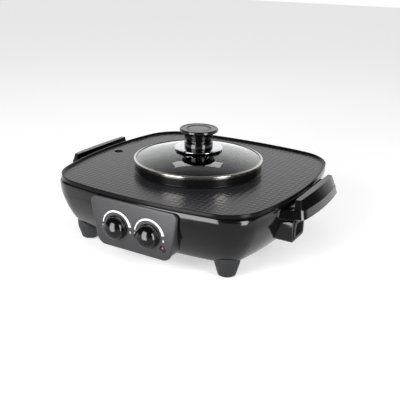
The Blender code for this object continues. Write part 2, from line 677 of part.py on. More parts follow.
def make_heat_reflector(root, finish):
    """A thin tray seated on the bosses, open at the pot, the drain, the tie screws and the heater's ends."""
    low = REFLECTOR_Z - REFLECTOR_THICKNESS
    outer = SHELL_WALL + SHELL_TOP_INSET + REFLECTOR_INSET
    rings = [(circle_like(REFLECTOR_HOLE_RADIUS), low), (plate_outline(outer), low),
             (plate_outline(outer), low + REFLECTOR_RIM),
             (plate_outline(outer + REFLECTOR_THICKNESS), low + REFLECTOR_RIM),
             (plate_outline(outer + REFLECTOR_THICKNESS), REFLECTOR_Z),
             (circle_like(REFLECTOR_HOLE_RADIUS), REFLECTOR_Z)]
    tray = add_piece("heat_reflector", loft(rings, closed=True), finish, root)
    y_front = min(y for x, y in plate_outline(GRILL_ELEMENT_INSET))
    screw_hole = SCREW_RADIUS + SCREW_CLEARANCE
    holes = [("drain", DRAIN_X, 0.0, SPOUT_BORE_RADIUS + SPOUT_WALL + PASS_GAP)]
    for side in (-1, 1):
        name = "right" if side > 0 else "left"
        holes.append(("element_" + name, side * GRILL_ELEMENT_OPENING / 2, y_front, ELEMENT_RADIUS + PASS_GAP))
        holes.append(("tie_front_" + name, side * TIE_X, -TIE_Y, screw_hole))
        holes.append(("tie_rear_" + name, side * TIE_X, TIE_Y, screw_hole))
    for name, x, y, radius in holes:
        hole = rod(radius, REFLECTOR_THICKNESS + 2 * CUT_OVERRUN)
        hole = moved(hole, x=x, y=y, z=low - CUT_OVERRUN)
        combine(tray, add_helper("cut_reflector_" + name, hole, root))


# The body shell, its base and its feet

def shell_profile():
    """(inset, corner radius, height) of the shell's outer skin from its top edge down to its flat bottom."""
    drop = SHOULDER_Z - SHELL_BOTTOM_Z
    rings = [(SHELL_TOP_INSET, CORNER_RADIUS, SHELL_TOP_Z)]
    rings += [(SHOULDER_INSET, SHOULDER_CORNER_RADIUS, SHOULDER_Z)]
    for down_share, in_share in SHELL_PROFILE_SHARES:
        inset = SHOULDER_INSET + SHELL_TAPER * in_share
        rings.append((inset, SHOULDER_CORNER_RADIUS, SHOULDER_Z - drop * down_share))
    return rings


def shell_form(grow=0.0):
    """The shell's outer form as a solid, grown by a clearance, to fit other pieces to it."""
    rings = []
    for index, (inset, corner, height) in enumerate(shell_profile()):
        lift = grow if index == 0 else 0.0
        rings.append((plate_outline(inset - grow, corner), height + lift))
    inset, corner, height = shell_profile()[-1]
    rings.append((plate_outline(inset - grow, corner), height - grow))
    rings[-2] = (rings[-2][0], height)
    return loft(rings)


def shell_shape():
    """The shell with its wall, and a flat bottom with a large opening that the base cover closes."""
    outer = shell_profile()
    rings = [(plate_outline(inset, corner), height) for inset, corner, height in outer]
    inset, corner, height = outer[-1]
    flange = inset + SHELL_FLANGE
    rings.append((plate_outline(flange, CORNER_RADIUS + SHELL_FLANGE), height))
    rings.append((plate_outline(flange, CORNER_RADIUS + SHELL_FLANGE), height + SHELL_WALL))
    for index, (inset, corner, height) in reversed(list(enumerate(outer))):
        inner_z = height + SHELL_WALL if height < SHELL_BOTTOM_Z + SHELL_WALL else height
        rings.append((plate_outline(inset + SHELL_WALL, corner), inner_z))
    return loft(rings, closed=True)


def make_body_shell(root, finish):
    """The shell, with windows behind the panel, at the inlet and at the cup, and holes for its screws."""
    shell = add_piece("body_shell", shell_shape(), finish, root)
    wide = PANEL_BOTTOM_HALF - WINDOW_MARGIN
    front = block((-wide, PANEL_FACE_Y - CUT_OVERRUN, PANEL_BOTTOM_Z + WINDOW_MARGIN),
                  (wide, PANEL_BACK_Y + HOUSING_DEPTH, PANEL_TOP_Z - WINDOW_MARGIN))
    combine(shell, add_helper("cut_panel_window", front, root))
    socket = rectangle(SOCKET_HEIGHT + 2 * PASS_GAP, SOCKET_WIDTH + 2 * PASS_GAP, SOCKET_ROUND)
    hole = along_x(prism(socket, -INLET_DEPTH, CUT_OVERRUN), INLET_FACE_X, INLET_CENTRE_Y, inlet_centre_z())
    combine(shell, add_helper("cut_inlet_window", hole, root))
    half = SLEEVE_WIDTH / 2 + SEAT_GAP
    sleeve = block((SLEEVE_FACE_X - CUT_OVERRUN, -half, SLEEVE_BOTTOM_Z - SEAT_GAP),
                   (SLEEVE_FACE_X + SLEEVE_LENGTH, half, SLEEVE_BOTTOM_Z + SLEEVE_HEIGHT + SEAT_GAP))
    combine(shell, add_helper("cut_cup_window", sleeve, root))
    radius = SCREW_RADIUS + SCREW_CLEARANCE
    for side_x in (-1, 1):
        for side_y in (-1, 1):
            start = wall_x(HANDLE_SCREW_Y, handle_screw_z()) - 2 * CUT_OVERRUN
            hole = along_x(rod(radius, 3 * CUT_OVERRUN), start, side_y * HANDLE_SCREW_Y, handle_screw_z())
            if side_x < 0:
                hole = mirrored_x(hole)
            label = "%s_%s" % ("right" if side_x > 0 else "left", "rear" if side_y > 0 else "front")
            combine(shell, add_helper("cut_handle_screw_" + label, hole, root))
    for side in (-1, 1):
        start = housing_wall_y() + 2 * CUT_OVERRUN
        hole = along_y(rod(radius, 3 * CUT_OVERRUN), side * HOUSING_SCREW_X, start, housing_screw_z())
        label = "right" if side > 0 else "left"
        combine(shell, add_helper("cut_housing_screw_" + label, hole, root))


def side_inset(height):
    """The shell's inset from the plate's outline at a height, read from its profile."""
    rings = shell_profile()
    for (in_a, _, z_a), (in_b, _, z_b) in zip(rings, rings[1:]):
        if z_b <= height <= z_a:
            return in_a + (in_b - in_a) * (z_a - height) / (z_a - z_b)
    return rings[-1][0]


def wall_x(y, height):
    """Where the shell's right side lies at a place along Y and a height."""
    radius = SIDE_RADIUS_X - side_inset(height)
    return PLATE_HALF_X - SIDE_RADIUS_X + math.sqrt(radius ** 2 - y ** 2)


def wall_y(x, height):
    """Where the shell's front lies at a place along X and a height."""
    radius = SIDE_RADIUS_Y - side_inset(height)
    return SIDE_RADIUS_Y - PLATE_HALF_Y - math.sqrt(radius ** 2 - x ** 2)


def make_base_cover(root, finish):
    """The flat cover over the shell's opening, with vent slots and holes for the tie screws."""
    inset = SHOULDER_INSET + SHELL_TAPER + SHELL_FLANGE - BASE_OVERLAP
    edge = plate_outline(inset, CORNER_RADIUS + inset)
    cover = add_piece("base_cover", loft([(edge, BASE_BOTTOM_Z), (edge, BASE_TOP_Z)]), finish, root)
    for index in range(VENT_SLOTS):
        x = (index - (VENT_SLOTS - 1) / 2) * VENT_SLOT_PITCH
        end_radius = VENT_SLOT_WIDTH * VENT_SLOT_END_SHARE
        outline = rectangle(VENT_SLOT_WIDTH, VENT_SLOT_LENGTH, end_radius, (x, 0.0))
        slot = prism(outline, BASE_BOTTOM_Z - CUT_OVERRUN, BASE_TOP_Z + CUT_OVERRUN)
        combine(cover, add_helper("cut_vent_%d" % (index + 1), slot, root))
    for side_x in (-1, 1):
        for side_y in (-1, 1):
            hole = moved(rod(SCREW_RADIUS + SCREW_CLEARANCE, BASE_THICKNESS + 2 * CUT_OVERRUN),
                         x=side_x * TIE_X, y=side_y * TIE_Y, z=BASE_BOTTOM_Z - CUT_OVERRUN)
            label = "%s_%s" % ("right" if side_x > 0 else "left", "rear" if side_y > 0 else "front")
            combine(cover, add_helper("cut_tie_" + label, hole, root))


def make_tie_screws(root, steel):
    """Four long screws that draw the base cover, the shell and the plate together."""
    seat = BASE_BOTTOM_Z - SEAT_GAP
    length = UNDERSIDE_Z - BOSS_LENGTH + TIE_BITE - SEAT_GAP - seat
    for side_x in (-1, 1):
        for side_y in (-1, 1):
            label = "%s_%s" % ("right" if side_x > 0 else "left", "rear" if side_y > 0 else "front")
            shape = moved(screw_shape(length), x=side_x * TIE_X, y=side_y * TIE_Y, z=seat)
            add_piece("tie_screw_" + label, shape, steel, root)


def make_feet(root, plastic, rubber):
    """Four tapered feet fitted to the shell's rounded corners, each on a rubber pad."""
    start = PAD_THICKNESS + SEAT_GAP
    top = SHELL_BOTTOM_Z + FOOT_REACH
    recess = PAD_THICKNESS / 2
    flare = FOOT_TOP_RADIUS + (FOOT_TOP_RADIUS - FOOT_BOTTOM_RADIUS) * FOOT_REACH / SHELL_BOTTOM_Z
    for side_x in (-1, 1):
        for side_y in (-1, 1):
            label = "%s_%s" % ("right" if side_x > 0 else "left", "rear" if side_y > 0 else "front")
            place = {"x": side_x * FOOT_X, "y": side_y * FOOT_Y}
            seat = PAD_RADIUS + SEAT_GAP
            toe = FOOT_BOTTOM_RADIUS - FOOT_ROUND
            profile = [(0.0, start + recess), (seat, start + recess), (seat, start)]
            profile += arc_points(toe, start + FOOT_ROUND, FOOT_ROUND, -90.0, -10.0)
            profile += [(FOOT_TOP_RADIUS, SHELL_BOTTOM_Z), (flare, top), (0.0, top)]
            foot = add_piece("foot_" + label, moved(turned(profile, FOOT_SIDES), **place), plastic, root)
            combine(foot, add_helper("cut_foot_" + label, shell_form(SEAT_GAP), root))
            pad_top = start + recess - SEAT_GAP
            pad = [(0.0, 0.0), (PAD_RADIUS, 0.0), (PAD_RADIUS, pad_top), (0.0, pad_top)]
            add_piece("foot_pad_" + label, moved(turned(pad, FOOT_SIDES), **place), rubber, root)


# Handles

def handle_screw_z():
    """Height of the handle's screws: the middle of its loop."""
    return GRIP_SHOULDER_Z - LOOP_HEIGHT / 2


def grip_edge(outer_x, bow, half_length):
    """Points of a bowed edge of the grip, from its front end to its rear end."""
    points = []
    for step in range(GRIP_STEPS + 1):
        along = 2 * step / GRIP_STEPS - 1
        points.append((outer_x - bow * along ** 2, half_length * along))
    return points


def loop_outline():
    """The loop seen from above: two slanting arms and the bowed grip, open towards the body."""
    edge = grip_edge(GRIP_OUTER_X, GRIP_BOW, GRIP_HALF_LENGTH)
    outer = [(ARM_ROOT_X, -ARM_ROOT_HALF)] + edge + [(ARM_ROOT_X, ARM_ROOT_HALF)]
    inner_y = GRIP_HALF_LENGTH - ARM_WIDTH
    root_y = ARM_ROOT_HALF - ARM_ROOT_WIDTH
    inner = [(ARM_ROOT_X, root_y), (GRIP_INNER_X, inner_y), (GRIP_INNER_X, -inner_y), (ARM_ROOT_X, -root_y)]
    radii = [0.0] * (len(outer) + len(inner))
    radii[1] = radii[len(edge)] = GRIP_CORNER_RADIUS
    return round_corners(outer + inner, radii)


def arm_slope():
    """How far an arm's outer edge runs along Y for each unit along X."""
    return (ARM_ROOT_HALF - GRIP_HALF_LENGTH) / (GRIP_OUTER_X - GRIP_BOW - ARM_ROOT_X)


def grip_ring(outer_x, bow, half_length, corner):
    """One outline of the raised grip; its ends run parallel to the arms."""
    inner_x = GRIP_INNER_X + GRIP_LEDGE
    end_x = outer_x - bow - corner
    end_y = half_length + corner * arm_slope()
    inner_y = end_y + (end_x - inner_x) * arm_slope()
    edge = grip_edge(outer_x, bow, half_length - corner)
    return [(inner_x, -inner_y), (end_x, -end_y)] + edge + [(end_x, end_y), (inner_x, inner_y)]


def grip_rings():
    """The raised grip: a wide foot on the loop that leans in to a narrow flat top."""
    half = GRIP_HALF_LENGTH - 2 * GRIP_LEDGE
    foot = grip_ring(GRIP_OUTER_X - GRIP_LEDGE, GRIP_BOW, half, GRIP_CORNER_RADIUS)
    top = grip_ring(GRIP_INNER_X + GRIP_TOP_WIDTH, GRIP_TOP_BOW, GRIP_TOP_HALF_LENGTH, GRIP_LEDGE)
    return foot, top


def handle_shape():
    """The right handle's loop with its bevelled underside."""
    low = GRIP_SHOULDER_Z - LOOP_HEIGHT
    shape = prism(loop_outline(), low, GRIP_SHOULDER_Z)
    under = [edge for edge in shape.edges if all(abs(v.co.z - low) < SEAT_GAP for v in edge.verts)]
    bmesh.ops.bevel(shape, geom=under, offset=LOOP_BEVEL, segments=1, profile=0.5, affect="EDGES")
    return shape


def make_handles(root, finish, steel):
    """A loop handle on each side, its ends fitted to the shell, each held by two screws from inside."""
    for side in (-1, 1):
        name = "right" if side > 0 else "left"
        loop = handle_shape()
        foot, top = grip_rings()
        grip = loft([(foot, GRIP_SHOULDER_Z - GRIP_MERGE), (foot, GRIP_SHOULDER_Z), (top, GRIP_TOP_Z)])
        if side < 0:
            loop, grip = mirrored_x(loop), mirrored_x(grip)
        handle = add_piece("handle_" + name, loop, finish, root)
        combine(handle, add_helper("add_grip_" + name, grip, root), "UNION")
        combine(handle, add_helper("cut_handle_" + name, shell_form(SEAT_GAP), root))
        for side_y in (-1, 1):
            label = "%s_%s" % (name, "rear" if side_y > 0 else "front")
            inner = wall_x(HANDLE_SCREW_Y, handle_screw_z()) - SHELL_WALL
            head = inner - SLOPE_GAP
            length = SLOPE_GAP + SHELL_WALL + HANDLE_SCREW_BITE
            place = (head, side_y * HANDLE_SCREW_Y, handle_screw_z())
            screw = along_x(screw_shape(length), *place)
            hole = along_x(rod(SCREW_RADIUS + SCREW_CLEARANCE, length + SCREW_CLEARANCE), *place)
            if side < 0:
                screw, hole = mirrored_x(screw), mirrored_x(hole)
            add_piece("handle_screw_" + label, screw, steel, root)
            combine(handle, add_helper("cut_handle_bore_" + label, hole, root))


# Control housing, panel and dials

def panel_outline(inset=0.0):
    """The panel's outline in its own plane, x to the right and y up."""
    top = PANEL_TOP_Z - inset
    bottom = PANEL_BOTTOM_Z + inset
    wide_top = PANEL_TOP_HALF - inset * (1 + PANEL_SLOPE)
    wide_bottom = PANEL_BOTTOM_HALF - inset * (1 - PANEL_SLOPE)
    corners = [(-wide_bottom, bottom), (wide_bottom, bottom), (wide_top, top), (-wide_top, top)]
    radii = [max(PANEL_BOTTOM_ROUND - inset, 0.0)] * 2 + [max(PANEL_TOP_ROUND - inset, 0.0)] * 2
    return round_corners(corners, radii, 5)


def housing_screw_z():
    """Height of the housing's screws."""
    return PANEL_BOTTOM_Z + HOUSING_SCREW_RISE


def housing_wall_y():
    """Where the shell's front lies at the housing's screws."""
    return wall_y(HOUSING_SCREW_X, housing_screw_z())


def make_control_housing(root, finish, steel):
    """A frame behind the panel, fitted to the shell, with two posts that its screws bite into."""
    front = -PANEL_BACK_Y - SEAT_GAP
    back = front - HOUSING_DEPTH
    outer = panel_outline(HOUSING_INSET)
    inner = panel_outline(HOUSING_INSET + HOUSING_WALL)
    rings = [(outer, back), (outer, front), (inner, front), (inner, back)]
    housing = add_piece("control_housing", along_y(loft(rings, closed=True)), finish, root)
    for side in (-1, 1):
        label = "right" if side > 0 else "left"
        post = moved(rod(HOUSING_POST_RADIUS, HOUSING_DEPTH - SEAT_GAP), z=back)
        post = along_y(post, side * HOUSING_SCREW_X, 0.0, housing_screw_z())
        combine(housing, add_helper("add_post_" + label, post, root), "UNION")
    combine(housing, add_helper("cut_housing", shell_form(SEAT_GAP), root))
    for side in (-1, 1):
        label = "right" if side > 0 else "left"
        head_y = housing_wall_y() + SHELL_WALL + HOUSING_SLOPE_GAP
        place = (side * HOUSING_SCREW_X, head_y, housing_screw_z())
        length = HOUSING_SLOPE_GAP + SHELL_WALL + HOUSING_SCREW_BITE
        add_piece("housing_screw_" + label, along_y(screw_shape(length), *place), steel, root)
        hole = along_y(rod(SCREW_RADIUS + SCREW_CLEARANCE, length + SCREW_CLEARANCE), *place)
        combine(housing, add_helper("cut_post_" + label, hole, root))


def make_control_panel(root, finish):
    """The face plate with a bevelled edge, and holes for two shafts and the pilot lens."""
    rings = [(panel_outline(), -PANEL_BACK_Y), (panel_outline(), -PANEL_FACE_Y - PANEL_EDGE),
             (panel_outline(PANEL_EDGE), -PANEL_FACE_Y)]
    panel = add_piece("control_panel", along_y(loft(rings)), finish, root)
    holes = [("dial_left", -DIAL_SPACING / 2, DIAL_Z, PANEL_HOLE_RADIUS),
             ("dial_right", DIAL_SPACING / 2, DIAL_Z, PANEL_HOLE_RADIUS),
             ("lamp", LAMP_X, PANEL_BOTTOM_Z + LAMP_RISE, LENS_RADIUS + SEAT_GAP)]
    for name, x, z, radius in holes:
        hole = along_y(rod(radius, PANEL_THICKNESS + 2 * CUT_OVERRUN, 16), x, PANEL_BACK_Y + CUT_OVERRUN, z)
        combine(panel, add_helper("cut_panel_" + name, hole, root))


def knob_grip_outline():
    """The bar across a knob, seen from the front: round at one end and pointed at the other."""
    half = KNOB_GRIP_WIDTH / 2
    neck = KNOB_POINTER_TAPER - KNOB_POINTER
    back = KNOB_GRIP_BACK + half / 2
    return [(-KNOB_POINTER, 0.0), (neck, -half), (KNOB_GRIP_BACK, -half), (back, 0.0), (KNOB_GRIP_BACK, half),
            (neck, half)]


def make_knob(name, axis, finish):
    """A dial knob: a skirt, a domed body and a pointed bar, with a blind bore for its shaft."""
    base = KNOB_AIR
    rise = KNOB_CROWN_HEIGHT - KNOB_SIDE_HEIGHT
    profile = [(0.0, base), (KNOB_RADIUS, base), (KNOB_RADIUS, base + KNOB_SKIRT - KNOB_EDGE),
               (KNOB_BODY_RADIUS, base + KNOB_SKIRT), (KNOB_BODY_RADIUS, base + KNOB_SIDE_HEIGHT)]
    side = base + KNOB_SIDE_HEIGHT
    profile += [(KNOB_BODY_RADIUS * across, side + rise * up) for across, up in KNOB_DOME_SHARES]
    knob = add_piece(name, turned(profile, KNOB_SIDES), finish, axis)
    bar = prism(knob_grip_outline(), base + KNOB_EDGE, base + KNOB_HEIGHT)
    top = [edge for edge in bar.edges if all(v.co.z > base + KNOB_CROWN_HEIGHT for v in edge.verts)]
    bmesh.ops.bevel(bar, geom=top, offset=KNOB_EDGE, segments=2, profile=0.5, affect="EDGES")
    combine(knob, add_helper("add_bar_" + name, bar, axis), "UNION")
    bore = moved(rod(SHAFT_RADIUS + RUNNING_GAP, KNOB_BORE_DEPTH + CUT_OVERRUN), z=base - CUT_OVERRUN)
    combine(knob, add_helper("cut_bore_" + name, bore, axis))


def make_dial(name, side, root, plastic, steel, phenolic):
    """A knob and its shaft on one axis, and the fixed thermostat behind the panel."""
    axis = make_empty(name + "_dial_axis", (side * DIAL_SPACING / 2, PANEL_FACE_Y, DIAL_Z), root,
                      (math.pi / 2, 0.0, 0.0))
    make_knob("knob_" + name, axis, plastic)
    front = -PANEL_THICKNESS - SEAT_GAP
    back = front - THERMOSTAT_NECK - THERMOSTAT_DEPTH
    shaft_end = KNOB_AIR + KNOB_BORE_DEPTH - RUNNING_GAP
    shaft_start = front - THERMOSTAT_SOCKET + RUNNING_GAP
    shaft = moved(rod(SHAFT_RADIUS, shaft_end - shaft_start), z=shaft_start)
    add_piece("shaft_" + name, shaft, steel, axis)
    body = block((-THERMOSTAT_WIDTH / 2, -THERMOSTAT_HEIGHT / 2, back),
                 (THERMOSTAT_WIDTH / 2, THERMOSTAT_HEIGHT / 2, front - THERMOSTAT_NECK))
    thermostat = add_piece("thermostat_" + name, body, phenolic, axis)
    neck = moved(rod(THERMOSTAT_NECK_RADIUS, 2 * THERMOSTAT_NECK, 16), z=front - 2 * THERMOSTAT_NECK)
    combine(thermostat, add_helper("add_neck_" + name, neck, axis), "UNION")
    bore = rod(SHAFT_RADIUS + RUNNING_GAP, THERMOSTAT_SOCKET + CUT_OVERRUN)
    bore = moved(bore, z=front - THERMOSTAT_SOCKET)
    combine(thermostat, add_helper("cut_socket_" + name, bore, axis))


def make_pilot(root, red, white):
    """The red lens in the panel, and the lamp behind it."""
    z = PANEL_BOTTOM_Z + LAMP_RISE
    back = -SEAT_GAP - LENS_FLANGE
    profile = [(0.0, back), (LENS_RADIUS + LENS_FLANGE, back), (LENS_RADIUS + LENS_FLANGE, -SEAT_GAP),
               (LENS_RADIUS, -SEAT_GAP), (LENS_RADIUS, PANEL_THICKNESS + LENS_PROUD / 2),
               (LENS_RADIUS * 2 / 3, PANEL_THICKNESS + LENS_PROUD), (0.0, PANEL_THICKNESS + LENS_PROUD)]
    add_piece("pilot_lens", along_y(turned(profile, 16), LAMP_X, PANEL_BACK_Y, z), red, root)
    lamp_y = PANEL_BACK_Y - back + SEAT_GAP + LAMP_LENGTH
    add_piece("pilot_lamp", along_y(rod(LAMP_RADIUS, LAMP_LENGTH, 16), LAMP_X, lamp_y, z), white, root)


# Power inlet and wiring

def inlet_centre_z():
    """Height of the inlet's axis."""
    return INLET_BOTTOM_Z + INLET_HEIGHT / 2


def make_inlet_housing(root, finish):
    """The box on the shell's right side, open through to the shell for the socket."""
    outer = rectangle(INLET_HEIGHT, INLET_WIDTH, INLET_ROUND)
    hole = rectangle(SOCKET_HEIGHT + 2 * SEAT_GAP, SOCKET_WIDTH + 2 * SEAT_GAP, SOCKET_ROUND)
    rings = [(outer, -INLET_DEPTH), (outer, 0.0), (hole, 0.0), (hole, -INLET_DEPTH)]
    shape = along_x(loft(rings, closed=True), INLET_FACE_X, INLET_CENTRE_Y, inlet_centre_z())
    housing = add_piece("inlet_housing", shape, finish, root)
    combine(housing, add_helper("cut_inlet_housing", shell_form(SEAT_GAP), root))


def make_inlet_socket(root, plastic, brass):
    """The recessed socket that slides into the housing, and its three flat pins."""
    outer = rectangle(SOCKET_HEIGHT, SOCKET_WIDTH, SOCKET_ROUND)
    rim = rectangle(SOCKET_HEIGHT + 4 * SOCKET_WALL, SOCKET_WIDTH + 4 * SOCKET_WALL, SOCKET_ROUND)
    thin = 2 * SOCKET_WALL
    hollow = rectangle(SOCKET_HEIGHT - thin, SOCKET_WIDTH - thin, SOCKET_ROUND - SOCKET_WALL)
    back = -SOCKET_DEPTH - SOCKET_BACK
    front = SEAT_GAP + SOCKET_RIM
    rings = [(outer, back), (outer, SEAT_GAP), (rim, SEAT_GAP), (rim, front), (hollow, front),
             (hollow, -SOCKET_DEPTH)]
    place = (INLET_FACE_X, INLET_CENTRE_Y, inlet_centre_z())
    socket = add_piece("inlet_socket", along_x(loft(rings), *place), plastic, root)
    pins = (("line", -PIN_SPACING / 2, -PIN_OFFSET / 2), ("neutral", PIN_SPACING / 2, -PIN_OFFSET / 2),
            ("earth", 0.0, PIN_OFFSET))
    for name, y, rise in pins:
        start = -PIN_RECESS - PIN_LENGTH
        section = rectangle(PIN_HEIGHT, PIN_WIDTH, 0.0, (-rise, y))
        pin = along_x(prism(section, start, -PIN_RECESS), *place)
        add_piece("inlet_pin_" + name, pin, brass, root)
        slot = rectangle(PIN_HEIGHT + 2 * SEAT_GAP, PIN_WIDTH + 2 * SEAT_GAP, 0.0, (-rise, y))
        hole = along_x(prism(slot, back - CUT_OVERRUN, -SOCKET_DEPTH + CUT_OVERRUN), *place)
        combine(socket, add_helper("cut_pin_" + name, hole, root))


def make_wiring(root, phenolic, wire):
    """A terminal block on the base cover, and three wires to it from the inlet's pins."""
    deep, wide, high = TERMINAL_BLOCK_SIZE
    low_z = BASE_TOP_Z + SEAT_GAP
    body = block((TERMINAL_BLOCK_X - deep / 2, INLET_CENTRE_Y - wide / 2, low_z),
                 (TERMINAL_BLOCK_X + deep / 2, INLET_CENTRE_Y + wide / 2, low_z + high))
    terminal = add_piece("terminal_block", body, phenolic, root)
    face_x = TERMINAL_BLOCK_X + deep / 2
    pin_end = INLET_FACE_X - PIN_RECESS - PIN_LENGTH
    pins = (("line", -1, -PIN_SPACING / 2, -PIN_OFFSET / 2), ("neutral", 1, PIN_SPACING / 2, -PIN_OFFSET / 2),
            ("earth", 0, 0.0, PIN_OFFSET))
    for name, order, y, rise in pins:
        hole_y = INLET_CENTRE_Y + order * TERMINAL_PITCH
        hole_z = low_z + high / 2
        hole = along_x(rod(TERMINAL_HOLE_RADIUS, TERMINAL_HOLE_DEPTH + CUT_OVERRUN),
                       face_x - TERMINAL_HOLE_DEPTH, hole_y, hole_z)
        combine(terminal, add_helper("cut_terminal_" + name, hole, root))
        start = Vector((pin_end - SEAT_GAP, INLET_CENTRE_Y + y, inlet_centre_z() + rise))
        end = Vector((face_x - TERMINAL_HOLE_DEPTH + SEAT_GAP, hole_y, hole_z))
        reach = Vector(((start.x - end.x) / 2, 0.0, 0.0))
        tube("wire_" + name, smooth_run(start, start - reach, end + reach, end), WIRE_RADIUS, wire, root)


def smooth_run(start, start_handle, end_handle, end):
    """Points of a cubic curve between two ends."""
    points = []
    for step in range(WIRE_STEPS + 1):
        s = step / WIRE_STEPS
        points.append(start * (1 - s) ** 3 + start_handle * (3 * s * (1 - s) ** 2)
                      + end_handle * (3 * s ** 2 * (1 - s)) + end * s ** 3)
    return points


# Fat drain

def make_drain_spout(root, finish):
    """A flanged tube below the plate's drain hole that leads down to the cup."""
    top = UNDERSIDE_Z - SEAT_GAP
    outer = SPOUT_BORE_RADIUS + SPOUT_WALL
    profile = [(SPOUT_BORE_RADIUS, SPOUT_END_Z), (outer, SPOUT_END_Z), (outer, top - SPOUT_FLANGE_THICKNESS),
               (outer + SPOUT_FLANGE, top - SPOUT_FLANGE_THICKNESS), (outer + SPOUT_FLANGE, top),
               (SPOUT_BORE_RADIUS, top)]
    add_piece("drain_spout", moved(turned(profile, 20, closed=True), x=DRAIN_X), finish, root)


def make_cup_sleeve(root, finish):
    """The guide that the oil cup slides in, with a hole in its roof below the spout."""
    outer = rectangle(SLEEVE_HEIGHT, SLEEVE_WIDTH)
    inner = rectangle(SLEEVE_HEIGHT - 2 * SLEEVE_WALL, SLEEVE_WIDTH - 2 * SLEEVE_WALL)
    rings = [(outer, 0.0), (outer, SLEEVE_LENGTH), (inner, SLEEVE_LENGTH), (inner, 0.0)]
    centre_z = SLEEVE_BOTTOM_Z + SLEEVE_HEIGHT / 2
    shape = along_x(loft(rings, closed=True), SLEEVE_FACE_X, 0.0, centre_z)
    sleeve = add_piece("oil_cup_sleeve", shape, finish, root)
    roof = SLEEVE_BOTTOM_Z + SLEEVE_HEIGHT - SLEEVE_WALL
    hole = moved(rod(SPOUT_BORE_RADIUS + SPOUT_WALL, SLEEVE_WALL + 2 * CUT_OVERRUN, 20), x=DRAIN_X,
                 z=roof - CUT_OVERRUN)
    combine(sleeve, add_helper("cut_sleeve_roof", hole, root))


def make_oil_cup(root, finish):
    """The removable cup: an open box with a front plate and a pull."""
    slide = make_empty("oil_cup_slide", (SLEEVE_FACE_X, 0.0, SLEEVE_BOTTOM_Z), root)
    gap = SLEEVE_WALL + CUP_GAP
    half = SLEEVE_WIDTH / 2 - gap
    high = SLEEVE_HEIGHT - gap - CUP_TOP_GAP
    length = SLEEVE_LENGTH - CUP_GAP
    cup = add_piece("oil_cup", block((-SEAT_GAP - CUP_EDGE, -half, gap), (length, half, high)), finish, slide)
    front = block((-SEAT_GAP - CUP_FRONT_THICKNESS, -SLEEVE_WIDTH / 2, 0.0),
                  (-SEAT_GAP, SLEEVE_WIDTH / 2, SLEEVE_HEIGHT))
    combine(cup, add_helper("add_cup_front", front, slide), "UNION")
    lip_z = SLEEVE_HEIGHT / 2
    pull = block((-SEAT_GAP - CUP_FRONT_THICKNESS - CUP_PULL, -CUP_PULL_WIDTH / 2, lip_z),
                 (-SEAT_GAP - CUP_EDGE, CUP_PULL_WIDTH / 2, lip_z + CUP_PULL_THICKNESS))
    combine(cup, add_helper("add_cup_pull", pull, slide), "UNION")
    hollow = block((CUP_WALL, -half + CUP_WALL, gap + CUP_WALL),
                   (length - CUP_WALL, half - CUP_WALL, high + CUT_OVERRUN))
    combine(cup, add_helper("cut_cup_hollow", hollow, slide))


# Lid

def dome_z(radius, above=0.0):
    """Height of the lid's glass at a radius, or of a surface parallel to it above."""
    sphere = DOME_RADIUS
    centre = GLASS_EDGE_Z + LID_GLASS_THICKNESS + LID_DOME_RISE - sphere
    return centre + math.sqrt(sphere ** 2 - radius ** 2) + above


def make_lid_glass(axis, finish):
    """The domed glass, with a centre bore and a vent hole."""
    radii = [LID_BORE_RADIUS + (GLASS_EDGE_RADIUS - LID_BORE_RADIUS) * step / LID_DOME_STEPS
             for step in range(LID_DOME_STEPS + 1)]
    top = [(r, dome_z(r)) for r in radii]
    bottom = [(r, dome_z(r) - LID_GLASS_THICKNESS) for r in radii]
    glass = add_piece("lid_glass", turned(bottom + top[::-1], LID_SIDES, closed=True), finish, axis)
    vent = moved(rod(VENT_RADIUS + 2 * SEAT_GAP, 2 * CUT_OVERRUN, VENT_SIDES), z=-CUT_OVERRUN)
    combine(glass, add_helper("cut_vent_hole", leaned_on_glass(vent), axis))


def leaned_on_glass(shape):
    """Place a shape made round the Z axis at the vent, square to the glass, with its origin mid-glass."""
    radius = math.hypot(VENT_X, VENT_Y)
    tilt = math.asin(radius / DOME_RADIUS)
    lean = Matrix.Rotation(tilt, 4, Vector((-VENT_Y, VENT_X, 0.0)))
    place = Matrix.Translation((VENT_X, VENT_Y, dome_z(radius) - LID_GLASS_THICKNESS / 2))
    bmesh.ops.transform(shape, matrix=place @ lean, verts=shape.verts)
    return shape


def make_lid_rim(axis, finish):
    """The rolled steel rim round the glass's edge, with a slot that the glass sits in."""
    outer = LID_RADIUS
    inner = LID_RADIUS - LID_RIM_WIDTH
    low = LID_SEAT_Z
    top = GLASS_EDGE_Z + LID_GLASS_THICKNESS + SEAT_GAP
    clear = dome_z(inner) + SEAT_GAP
    wall = LID_RIM_WALL
    profile = [(inner, low), (outer - wall, low), (outer, low + wall), (outer, top),
               (outer - wall, top + wall), (inner, clear + wall), (inner, clear), (outer - wall, top),
               (outer - wall, low + wall), (inner, low + wall)]
    add_piece("lid_rim", turned(profile, LID_SIDES, closed=True), finish, axis)


def make_vent_grommet(axis, steel):
    """A small eyelet in the glass that lets steam out."""
    half = LID_GLASS_THICKNESS / 2
    reach = VENT_RADIUS + VENT_FLANGE
    over = half + SEAT_GAP
    profile = [(VENT_BORE_RADIUS, -half - VENT_PROUD), (VENT_RADIUS, -half - VENT_PROUD), (VENT_RADIUS, over),
               (reach, over), (reach, over + VENT_PROUD), (VENT_BORE_RADIUS, over + VENT_PROUD)]
    add_piece("lid_vent_grommet", leaned_on_glass(turned(profile, VENT_SIDES, closed=True)), steel, axis)


